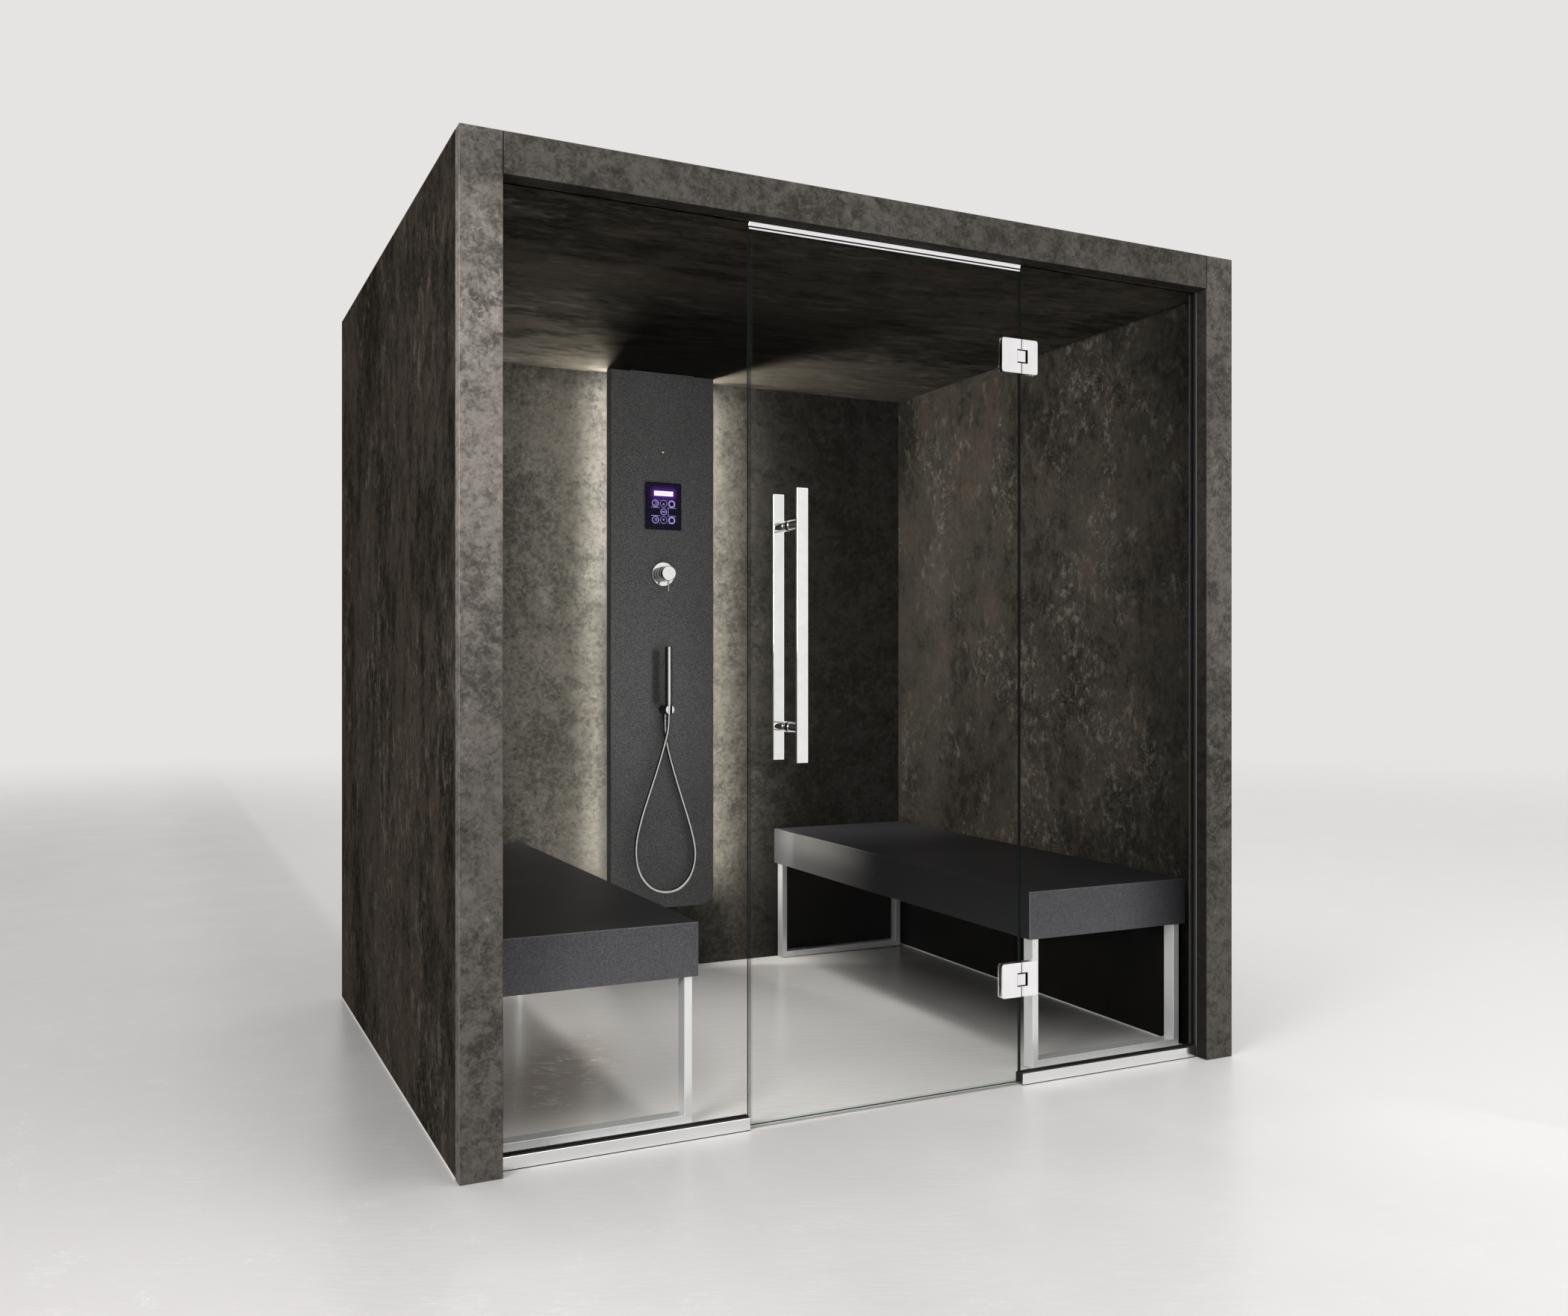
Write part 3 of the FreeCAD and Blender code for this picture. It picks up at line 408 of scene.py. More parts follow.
def u_frame(x0, x1, y0):
    """Outline of a U in the x-z plane, carried from front to back with rounded rims."""
    (z0, z1), w = frame_z, TUBE_WIDTH
    outline = np.array([
        (x0, z0), (x1, z0), (x1, z1), (x1 - w, z1), (x1 - w, z0 + RAIL_HEIGHT),
        (x0 + w, z0 + RAIL_HEIGHT), (x0 + w, z1), (x0, z1),
    ], float)
    return layered(outline, soft_ends(y0, y0 + TUBE_DEPTH, TUBE_EDGE), (0, 2, 1))


frames = solid("bench_legs", "cabin", "satin_aluminium", [
    u_frame(x0, x1, y0)
    for x0, x1 in ((frame_x[0], -HALF_GAP), (HALF_GAP, frame_x[1]))
    for y0 in (frame_y[0], frame_y[1] - TUBE_DEPTH)
], ["bench_frames"])
print("bench frames:", len(frames.data.polygons), "faces")

# %% [markdown]
# ## The glass front
# The floor channels and the bar over the door are drawn aluminium: one section, carried along.
# Each section has its own small lines, a shadow gap at the foot and a groove above the lip, because
# those are what the eye reads at this scale.

# %% Floor channels and header bar
def extrusion(section, x_span, edge=0.4):
    """A section in the y-z plane carried along x, its two ends softened."""
    return layered(np.array(section, float), soft_ends(*x_span, edge, 1), (1, 2, 0))


def channel_section(y0, y1, top, wall=4, foot=1.6, inset=1.0, arris=0.5):
    """A U with a shadow gap at its foot and softened lips."""
    return [
        (y0 + inset, 0), (y1 - inset, 0), (y1 - inset, foot), (y1, foot), (y1, top - arris),
        (y1 - arris, top), (y1 - wall, top), (y1 - wall, wall), (y0 + wall, wall), (y0 + wall, top),
        (y0 + arris, top), (y0, top - arris), (y0, foot), (y0 + inset, foot),
    ]


channel_x, channel_y, channel_z = spans("floor_channels")
PANE_LEFT_EDGE, PANE_RIGHT_EDGE = -391, 395
channels = solid("floor_channel_bars", "cabin", "polished_aluminium", [
    extrusion(channel_section(*channel_y, channel_z[1]), x_span)
    for x_span in ((channel_x[0], PANE_LEFT_EDGE), (PANE_RIGHT_EDGE, channel_x[1]))
], ["floor_channels"])

header_x, (bar_y0, bar_y1), (bar_z0, bar_z1) = spans("door_header_bar")
GROOVE_Z, GROOVE, LEAN, BAR_ARRIS = (bar_z0 + 5.5, bar_z0 + 7.0), 1.5, 4.0, 0.5


def bar_side(edge, inward):
    """One side of the bar, foot first; it leans in at its foot, so it mirrors the room, not the lintel."""
    def point(z, depth=0.0):
        return edge + inward * LEAN * (bar_z1 - z) / (bar_z1 - bar_z0) + inward * depth, z

    low, high = GROOVE_Z
    return [point(bar_z0, BAR_ARRIS), point(bar_z0 + BAR_ARRIS), point(low), point(low, GROOVE),
            point(high, GROOVE), point(high), point(bar_z1)]


header_section = bar_side(bar_y1, -1) + bar_side(bar_y0, 1)[::-1]
header = solid("header_bar", "cabin", "polished_aluminium", [extrusion(header_section, header_x)],
               ["door_header_bar"])
print("channels and header bar made")

# %% Handle
GLASS_MID = -838
handle_x, handle_y, handle_z = spans("handle_bars")
BAR_DEPTH, BAR_EDGE = 10, 1.6
bars = solid("handle_flat_bars", "door", "chrome", [
    layered(rounded_rectangle(handle_x, y_span, BAR_EDGE, 5), soft_ends(*handle_z, BAR_EDGE, 4))
    for y_span in ((handle_y[0], handle_y[0] + BAR_DEPTH), (handle_y[1] - BAR_DEPTH, handle_y[1]))
], ["handle_bars"])

HANDLE_CENTRE, STANDOFF_HEIGHTS, STANDOFF_RADIUS = -280, (954, 1440), 13
GLASS_FACES, WASHER = (-842, -834), 1


def standoff(z, glass_face, bar_face):
    """Turned from the washer to the bar: softened rims and one fine decorative groove."""
    reach, r, edge, chamfer = abs(bar_face - glass_face) - WASHER, STANDOFF_RADIUS, 0.8, 0.4
    profile = [
        (0, 0), *foot_rim(r, 0, edge, 3), *groove(r, 9, 0.5, 0.4, 0.6),
        (r, reach - chamfer), (r - chamfer, reach), (0, reach),
    ]
    away = np.sign(bar_face - glass_face)
    return turned(profile, (HANDLE_CENTRE, glass_face + away * WASHER, z), (0, away, 0), 48)


standoffs = solid("handle_stand_offs", "door", "chrome", [
    standoff(z, face, bar)
    for z in STANDOFF_HEIGHTS
    for face, bar in zip(GLASS_FACES, (handle_y[0] + BAR_DEPTH, handle_y[1] - BAR_DEPTH))
], ["handle_standoffs"], 30)
print("handle:", len(bars.data.polygons) + len(standoffs.data.polygons), "faces")

# %% [markdown]
# ## Hinges
# A hinge is mostly flat plates with cut corners and notches, which the CAD already has.
# What it lacks is the softened edge that makes polished metal look solid. So a copy of each CAD
# piece is merged, its flat faces are joined again, and a Bevel modifier rounds what is sharp.

# %% Softened copies of CAD pieces
SHARP = math.radians(30)


def softened(node, name, body, width):
    """A merged copy of a CAD node with its sharp edges rounded."""
    work = bmesh.new()
    work.from_mesh(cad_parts[node].data)
    bmesh.ops.remove_doubles(work, verts=work.verts, dist=MERGE)
    bmesh.ops.dissolve_limit(work, angle_limit=math.radians(1), verts=work.verts, edges=work.edges)
    mesh = bpy.data.meshes.new(name)
    work.to_mesh(mesh)
    work.free()
    mesh.shade_smooth()
    mesh.set_sharp_from_angle(angle=SHARP)
    piece = bpy.data.objects.new(name, mesh)
    scene.collection.objects.link(piece)
    bevel = piece.modifiers.new("edges", "BEVEL")
    bevel.width = width * MM
    bevel.segments = 2
    bevel.limit_method = "ANGLE"
    bevel.angle_limit = SHARP
    bevel.harden_normals = True
    bevel.miter_outer = "MITER_ARC"
    return stands_for(piece, body, "chrome", node)


hinge_parts = [
    softened("hinge_door_leaves", "hinge_door_plates", "door", 0.7),
    softened("hinge_fixed_leaves", "hinge_pane_plates", "cabin", 0.7),
    softened("hinge_knuckles", "hinge_knuckle_blocks", "door", 0.7),
]
holder = softened("shower_holder", "handset_holder", "cabin", 0.6)
print("softened:", [(piece.name, len(piece.data.polygons)) for piece in (*hinge_parts, holder)])

# %% [markdown]
# ## The service column
# The cover is a folded steel tray that floats in front of the wall, with two large round corners at
# its foot. It is the same tray surface as the bench seat, turned to face the room.

# %% Column cover
cover_x, cover_y, cover_z = spans("column_cover")
COVER_SKIN, COVER_EDGE, COVER_CORNER = 3, 1.4, 52
cover_layers_y = (-cover_y[1], -cover_y[0])
cover_points, cover_faces = tray(cover_x, cover_z, cover_layers_y, COVER_SKIN, COVER_EDGE,
                                 (COVER_CORNER, COVER_CORNER, 1.0, 1.0), (0, 2, 1))
cover_points[:, 1] *= -1
cover = solid("column_face", "cabin", "column_grey", [(cover_points, cover_faces)], ["column_cover"])
print("column cover:", len(cover.data.polygons), "faces")

# %% Keypad glass
KEYPAD_X, KEYPAD_Y, KEYPAD_Z = spans("keypad_glass")
keypad = solid("keypad_pane", "cabin", "keypad_black_glass", [
    layered(rounded_rectangle(KEYPAD_X, KEYPAD_Z, 5, 8), soft_ends(*KEYPAD_Y, 0.7, 3), (0, 2, 1))
], ["keypad_glass"])
KEYPAD_FACE = KEYPAD_Y[0]
print("keypad face at y =", round(KEYPAD_FACE, 1))

# %% [markdown]
# ## Signs on the keypad
# The keys are lit signs on the glass: rings, arrows and a few plain marks. Each is a flat ribbon a
# tenth of a millimetre proud of the glass, so that it stays crisp at any distance.

# %% Keypad marks
PRINT_PROUD = 0.12
face_centre = (sum(KEYPAD_X) / 2, sum(KEYPAD_Z) / 2)


def on_glass(flat, proud=PRINT_PROUD):
    """Flat points (right, up) in millimetres from the keypad's middle, put on its face."""
    flat = np.asarray(flat, float).reshape(-1, 2)
    depth = np.full(len(flat), KEYPAD_FACE - proud)
    return np.stack([face_centre[0] + flat[:, 0], depth, face_centre[1] + flat[:, 1]], 1)


def ribbon(line, width, ring=False):
    """A flat band: each point of the line moved by half the width to both sides along its normal."""
    line = np.asarray(line, float)
    along = np.roll(line, -1, 0) - np.roll(line, 1, 0) if ring else np.gradient(line, axis=0)
    side = np.stack([-along[:, 1], along[:, 0]], 1) / np.linalg.norm(along, axis=1, keepdims=True)
    flat = np.stack([line - side * width / 2, line + side * width / 2])
    return on_glass(flat), grid_faces(2, len(line), ring)


def circle(centre, radius, start=0, end=360, steps=40):
    """Points on a circle: centre + radius (cos t, sin t)."""
    t = np.radians(np.linspace(start, end, steps, endpoint=end - start < 360))
    return np.array(centre) + radius * np.stack([np.cos(t), np.sin(t)], 1)


def arrow(centre, size, up):
    """A filled triangle that points up or down."""
    x, y = centre
    s = size if up else -size
    return on_glass([(x - size, y - s * 0.75), (x + size, y - s * 0.75), (x, y + s)]), [[0, 1, 2]]


KEY_COLUMNS, KEY_ROWS, RING_OUTER, MIDDLE_RING, ARROW = (-31, 0, 31), (9.2, -20.3, -49.8), 13.2, 11.0, 4.4
top_row, middle_row, bottom_row = KEY_ROWS
# a ring round each of six keys, thin or bold, and a smaller one round the bar on the middle key
marks = [
    ribbon(circle((column, row), RING_OUTER - width / 2), width, True)
    for row in (top_row, bottom_row) for column, width in zip(KEY_COLUMNS, (2.6, 1.5, 4.6))
]
marks += [
    ribbon(circle((0, middle_row), MIDDLE_RING), 2.4, True),
    ribbon([(-6.5, middle_row), (0, middle_row), (6.5, middle_row)], 4.2),
    arrow((0, top_row - 1), ARROW, True),
    arrow((0, bottom_row + 1), ARROW, False),
    ribbon(circle((-31, top_row), 6.6, -150, 110, 24), 1.7),
    ribbon([(-31, 13.0), (-31, 9.2), (-28.4, 6.4)], 1.5),
    ribbon(circle((-30.2, bottom_row), 4.6, -70, 110, 14), 1.8),
    ribbon([(-33.2, -45.6), (-31.4, -49.6), (-32.6, -53.2)], 1.7),
]
# lines that set the rows apart, one upright line, and four short ticks
for z in (-5.4, -34.7):
    marks += [ribbon([(-47.8, z), (-30, z), (-14, z)], 1.6), ribbon([(14, z), (30, z), (47.8, z)], 1.6)]
marks.append(ribbon([(17.4, -5.4), (17.4, -20), (17.4, -34.7)], 1.4))
marks += [ribbon([(x, z - 1.6), (x, z), (x, z + 1.6)], 1.2) for x in (-15, 15.5) for z in (22.5, -62.5)]
marks_points, marks_faces = joined(marks)
keypad_marks = piece_from("keypad_marks", marks_points * MM, marks_faces)
stands_for(keypad_marks, "cabin", "keypad_black_glass")
print("keypad marks:", len(marks), "shapes")

# %% Keypad display
DISPLAY_X, DISPLAY_Z, DISPLAY_PROUD = (-36.5, 36.5), (36.4, 54.0), 0.1
display_outline = rounded_rectangle(DISPLAY_X, DISPLAY_Z, 1.2, 3)
display = piece_from("keypad_display", on_glass(display_outline, DISPLAY_PROUD) * MM,
                     [list(range(len(display_outline)))])
stands_for(display, "cabin", "keypad_black_glass")
# two rows of twelve short dashes, a little further out than the display
dashes = [
    ribbon([(x - 1.5, z), (x, z), (x + 1.5, z)], 0.9) for x in np.arange(12) * 5 - 27.5 for z in (43.8, 46.6)
]
readout_points, readout_faces = joined(dashes)
readout_points[:, 1] -= 0.08
readout = piece_from("keypad_readout", readout_points * MM, readout_faces)
stands_for(readout, "cabin", "keypad_black_glass")
print("display", DISPLAY_X[1] - DISPLAY_X[0], "mm wide")

# %% [markdown]
# ## Mixer and hand shower
# These are all turned on a lathe, so each is a profile of radius against height, turned about its
# own axis. Fine grooves, rounded rims and the nut's ribs are what make them read as metal.

# %% Mixer
UP, OUTWARD = (0, 0, 1), (0, -1, 0)
MIXER_Z = 1434.5


def fitting(name, body, node, profile, out=0, height=0, direction=OUTWARD, segments=96, smooth_angle=30):
    """A chrome piece turned about an axis; the axis starts out from the column's face, at a height."""
    part = turned(profile, (0, COLUMN_FACE - out, height), direction, segments)
    return solid(name, body, "chrome", [part], [node], smooth_angle)


ROSETTE_RADIUS, ROSETTE_THICK, MIXER_RADIUS, PIVOT_OUT, SLEEVE_BORE = 43.5, 8, 26.5, 28, 20.4
rosette_profile = [
    (SLEEVE_BORE, 0), (ROSETTE_RADIUS, 0), *top_rim(ROSETTE_RADIUS, ROSETTE_THICK, 2, 5),
    (MIXER_RADIUS + 0.8, ROSETTE_THICK), (MIXER_RADIUS, ROSETTE_THICK + 0.8),
    *top_rim(MIXER_RADIUS, PIVOT_OUT - 0.5, 0.8), (SLEEVE_BORE, PIVOT_OUT - 0.5), (SLEEVE_BORE, 0),
]
rosette = fitting("mixer_trim", "cabin", "mixer_rosette", rosette_profile, height=MIXER_Z)

DOME_RADIUS, COLLAR_RADIUS, COLLAR_BACK, STEM_RADIUS, STEM_BACK = 26, 19.7, 22.3, 8, 12
dome_profile = [
    (0, STEM_BACK), (STEM_RADIUS, STEM_BACK), (STEM_RADIUS, COLLAR_BACK), (COLLAR_RADIUS, COLLAR_BACK),
    (COLLAR_RADIUS, PIVOT_OUT),
    *quarter(0, PIVOT_OUT, DOME_RADIUS, 0, 90, 24),
]
dome = fitting("mixer_ball", "mixer_carrier", "mixer_dome", dome_profile, height=MIXER_Z)

CAP_BACK, CAP_FRONT, CAP_HOLLOW, CAP_EDGE = 38.5, 65, 26.3, 2.2
hollow_end = math.degrees(math.asin((CAP_BACK - PIVOT_OUT) / CAP_HOLLOW))
cap_profile = [
    *quarter(0, PIVOT_OUT, CAP_HOLLOW, 90, hollow_end, 16), (MIXER_RADIUS - 0.6, CAP_BACK),
    (MIXER_RADIUS, CAP_BACK + 0.6), *top_rim(MIXER_RADIUS, CAP_FRONT, CAP_EDGE, 6), (0, CAP_FRONT),
]
cap = fitting("mixer_knob", "mixer_handle", "mixer_cap", cap_profile, height=MIXER_Z)

LEVER_RADIUS, LEVER_Z, LEVER_EDGE, LEVER_OUT = 3, (1370, 1414), 1.5, 57
lever_foot, lever_top = LEVER_Z
lever_profile = [
    (0, lever_foot), *foot_rim(LEVER_RADIUS, lever_foot, LEVER_EDGE),
    *top_rim(LEVER_RADIUS, lever_top, LEVER_EDGE), (0, lever_top),
]
lever = fitting("mixer_pin", "mixer_handle", "mixer_lever", lever_profile, LEVER_OUT, 0, UP, 32)
print("mixer:", [piece.name for piece in (rosette, dome, cap, lever)])

# %% Hand shower
HANDSET_OUT, HANDSET_RADIUS, HANDSET_Z = 60, 13, (966.9, 1173.9)
handset_axis = (0, COLUMN_FACE - HANDSET_OUT, 0)
low, high, r = *HANDSET_Z, HANDSET_RADIUS
stick_profile = [
    (0, low), *foot_rim(r, low, 1.5), *groove(r, low + 9, 0.4, 0.3, 0.7),
    *groove(r, high - 14, 0.35, 0.3, 0.6), *top_rim(r, high, 1.5), (0, high),
]
handset_parts = [turned(stick_profile, handset_axis, UP, 72)]
NOZZLE_ROWS, NOZZLE_PITCH, NOZZLE_TOP, SPRAY_HEADING = 16, 4.3, high - 19, -62
nozzle_profile = [(0, -0.6), (0.95, -0.6), (0.9, 0.25), (0.45, 0.45), (0, 0.45)]
for column, angle in enumerate((-24, 0, 24)):
    heading = math.radians(SPRAY_HEADING + angle)
    away = np.array([math.cos(heading), math.sin(heading), 0])
    for row in range(NOZZLE_ROWS - column % 2):
        height = NOZZLE_TOP - (row + (column % 2) / 2) * NOZZLE_PITCH
        base = np.array(handset_axis) + away * (HANDSET_RADIUS - 0.1) + (0, 0, height)
        handset_parts.append(turned(nozzle_profile, base, away, 10))
handset = solid("handset_stick", "hand_shower", "chrome", handset_parts, ["shower_handset"], 30)
print("hand shower:", len(handset_parts) - 1, "nozzles")

# %% Cone and hose nut
CONE_Z, CONE_RADII = (932, 966.9), (9, 11.5)
cone_profile = [
    (0, CONE_Z[0]), (CONE_RADII[0] - 0.8, CONE_Z[0]), (CONE_RADII[0], CONE_Z[0] + 0.8),
    (CONE_RADII[1], CONE_Z[1]), (0, CONE_Z[1]),
]
cone = fitting("handset_tail", "hand_shower", "handset_cone", cone_profile, HANDSET_OUT, 0, UP, 48)
NUT_Z, NUT_RADIUS, NUT_OUT = (906, 928), 8.5, 22
nut_steps = np.linspace(NUT_Z[0] + 5, NUT_Z[1] - 5, 13)
nut_ribs = [(NUT_RADIUS - (0.35 if k % 2 else 0), z) for k, z in enumerate(nut_steps)]
nut_profile = [
    (0, NUT_Z[0]), (NUT_RADIUS - 1, NUT_Z[0]), (NUT_RADIUS, NUT_Z[0] + 1), *nut_ribs,
    (NUT_RADIUS, NUT_Z[1] - 1), (NUT_RADIUS - 1, NUT_Z[1]), (0, NUT_Z[1]),
]
nut = fitting("hose_end_nut", "cabin", "hose_nut", nut_profile, NUT_OUT, 0, UP, 48, smooth_angle=20)
hose_line[::2] * MM

# %% Temperature sensor
SENSOR_Z, SENSOR_RADIUS, SENSOR_PROUD = 1874, 6, 4
sensor_profile = [
    (0, 0), (SENSOR_RADIUS, 0), *top_rim(SENSOR_RADIUS, SENSOR_PROUD, 2, 6),
    (1.4, SENSOR_PROUD), (1.1, SENSOR_PROUD - 0.5), (0, SENSOR_PROUD - 0.5),
]
sensor = fitting("sensor_button", "cabin", "temperature_sensor", sensor_profile, height=SENSOR_Z, segments=48)
print("sensor made")

# %% [markdown]
# ## On the roof
# Nobody sees the roof from the room, but the part may be looked at from above: the lights' driver is
# a finned black box, and the brackets are screwed down.

# %% Lights' driver
driver_x, driver_y, driver_z = spans("light_driver")
FINS, FIN_DEPTH = 7, 2.5
fin_edges = np.linspace(driver_y[1] - 5, driver_y[0] + 5, 2 * FINS)
(near, far), (foot, top) = driver_y, driver_z
driver_section = [(near + 1, foot), (far - 1, foot), (far, foot + 1), (far, top - 1), (far - 1, top)]
for k, y in enumerate(fin_edges):
    driver_section += [(y, top), (y, top - FIN_DEPTH)][:: 1 if k % 2 == 0 else -1]
driver_section += [(near + 1, top), (near, top - 1), (near, foot + 1)]
driver = solid("driver_box", "cabin", "black_plastic", [extrusion(driver_section, driver_x, 1.5)],
               ["light_driver"])
print("driver box:", len(driver.data.polygons), "faces")

# %% Bracket screws
bracket_x, bracket_y, bracket_z = spans("roof_brackets")
SCREW_HEAD, SCREW_RUNS, BRACKET = 4.2, (20, 46), 4
screw_z = sum(bracket_z) / 2


def pan_head(x, y, away):
    """A low domed screw head with a round socket for its key."""
    head = [(SCREW_HEAD, 0), *quarter(SCREW_HEAD - 1.2, 1.2, 1.2, 0, 80, 4), (1.9, 2.4), (1.7, 1.0), (0, 1.0)]
    return turned(head, (x, y, screw_z), away, 24)


# in each bracket, two screws along x and two along y
bracket_screws = []
for side_x in (-1, 1):
    corner_x = side_x * bracket_x[1]
    for corner_y, inner in ((bracket_y[0], 1), (bracket_y[1], -1)):
        for run in SCREW_RUNS:
            bracket_screws += [
                pan_head(corner_x - side_x * BRACKET, corner_y + inner * run, (-side_x, 0, 0)),
                pan_head(corner_x - side_x * run, corner_y + inner * BRACKET, (0, inner, 0)),
            ]
screws = solid("bracket_screw_heads", "cabin", "steel", bracket_screws, smooth_angle=30)
print("bracket screws:", len(bracket_screws))

# %% [markdown]
# # Finishes
# Every finish is made of nodes, so it has detail at any distance and needs no picture. Shader maths
# reads best as plain arithmetic: a small class wraps a value that varies over the surface, and
# adding or multiplying it adds the Math node. Any other node comes from one method.

# %% Varying values
class Varying:
    """A number that varies over a surface; arithmetic on it adds Math nodes to its finish."""

    def __init__(self, finish, socket):
        self.finish, self.socket = finish, socket

    def math(self, operation, *values):
        node = self.finish.node("ShaderNodeMath", {"operation": operation}, dict(enumerate(values)))
        return Varying(self.finish, node.outputs[0])

    def __add__(self, other): return self.math("ADD", self, other)
    def __radd__(self, other): return self.math("ADD", other, self)
    def __sub__(self, other): return self.math("SUBTRACT", self, other)
    def __rsub__(self, other): return self.math("SUBTRACT", other, self)
    def __mul__(self, other): return self.math("MULTIPLY", self, other)
    def __rmul__(self, other): return self.math("MULTIPLY", other, self)
    def __truediv__(self, other): return self.math("DIVIDE", self, other)
    def __pow__(self, other): return self.math("POWER", self, other)
    def __abs__(self): return self.math("ABSOLUTE", self)


class Finish:
    """A procedural material. node() adds any node: settings first, then values or links for its sockets."""

    def __init__(self, name):
        self.material = bpy.data.materials.new(name)
        self.material.use_nodes = True
        self.tree = self.material.node_tree
        self.tree.nodes.clear()
        self.places = {}

    def node(self, kind, settings=None, inputs=None):
        made = self.tree.nodes.new(kind)
        for key, value in (settings or {}).items():
            setattr(made, key, value)
        for key, value in (inputs or {}).items():
            value = value.socket if isinstance(value, Varying) else value
            if isinstance(value, bpy.types.NodeSocket):
                self.tree.links.new(value, made.inputs[key])
            elif made.inputs[key].type == "RGBA" and len(value) == 3:
                made.inputs[key].default_value = (*value, 1)
            else:
                made.inputs[key].default_value = value
        return made

    def place(self, stretch=(1, 1, 1), turn=(0, 0, 0)):
        """Object coordinates, stretched and turned: a pattern that stays on its piece."""
        if (stretch, turn) not in self.places:
            spot = self.node("ShaderNodeTexCoord").outputs["Object"]
            self.places[stretch, turn] = self.node(
                "ShaderNodeMapping", {}, {"Vector": spot, "Scale": stretch, "Rotation": turn}).outputs[0]
        return self.places[stretch, turn]

    def noise(self, scale, detail=4, roughness=0.5, distortion=0, where=None):
        sockets = {"Vector": where or self.place(), "Scale": scale, "Detail": detail,
                   "Roughness": roughness, "Distortion": distortion}
        return Varying(self, self.node("ShaderNodeTexNoise", {}, sockets).outputs["Fac"])

    def axis(self, number):
        """Object coordinate x, y or z in metres."""
        return Varying(self, self.node("ShaderNodeSeparateXYZ", {}, {0: self.place()}).outputs[number])

    def attribute(self, name):
        return Varying(self, self.node("ShaderNodeAttribute", {"attribute_name": name}).outputs["Fac"])

    def fade(self, value, low, high):
        """0 below low, 1 above high, smooth between; low above high turns it round."""
        settings = {"interpolation_type": "SMOOTHSTEP"}
        ends = (1.0, 0.0) if low > high else (0.0, 1.0)
        sockets = {0: value, 1: min(low, high), 2: max(low, high), 3: ends[0], 4: ends[1]}
        return Varying(self, self.node("ShaderNodeMapRange", settings, sockets).outputs[0])

    def mix(self, mask, first, second):
        """Colour that goes from first to second with the mask."""
        return self.node("ShaderNodeMix", {"data_type": "RGBA"}, {0: mask, 6: first, 7: second}).outputs[2]

    def bump(self, height, distance, strength):
        sockets = {"Height": height, "Distance": distance, "Strength": strength}
        return self.node("ShaderNodeBump", {}, sockets).outputs[0]

    def clear(self, colour=(1, 1, 1)):
        """Lets light straight through."""
        return self.node("ShaderNodeBsdfTransparent", {}, {"Color": colour}).outputs[0]

    def blend(self, mask, first, second):
        """A shader that goes from first to second with the mask."""
        return self.node("ShaderNodeMixShader", {}, {0: mask, 1: first, 2: second}).outputs[0]

    def surface(self, **sockets):
        """The Principled shader; names use _ for a space."""
        named = {key.replace("_", " "): value for key, value in sockets.items()}
        return self.node("ShaderNodeBsdfPrincipled", {}, named).outputs[0]

    def done(self, shader):
        self.node("ShaderNodeOutputMaterial", {}, {"Surface": shader})
        return self.material


print("shader arithmetic ready")

# %% Dressing
dressed = set()


def dress(finish, *wearers):
    """Gives a finish to pieces made above, or to CAD nodes by name."""
    for wearer in wearers:
        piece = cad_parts[wearer] if isinstance(wearer, str) else wearer
        piece.data.materials.clear()
        piece.data.materials.append(finish)
        dressed.add(piece.name)
    print(finish.name, "on", len(wearers))


# %% [markdown]
# ## Stone
# The panels look like oxidised metal or slate: soft clouds, a mottle of a few centimetres, fine
# grain, pale flecks that gather in patches, and here and there a rusty tint. The same recipe serves
# every panel. What differs is how far the pattern is stretched, which is how a sheet was brushed.

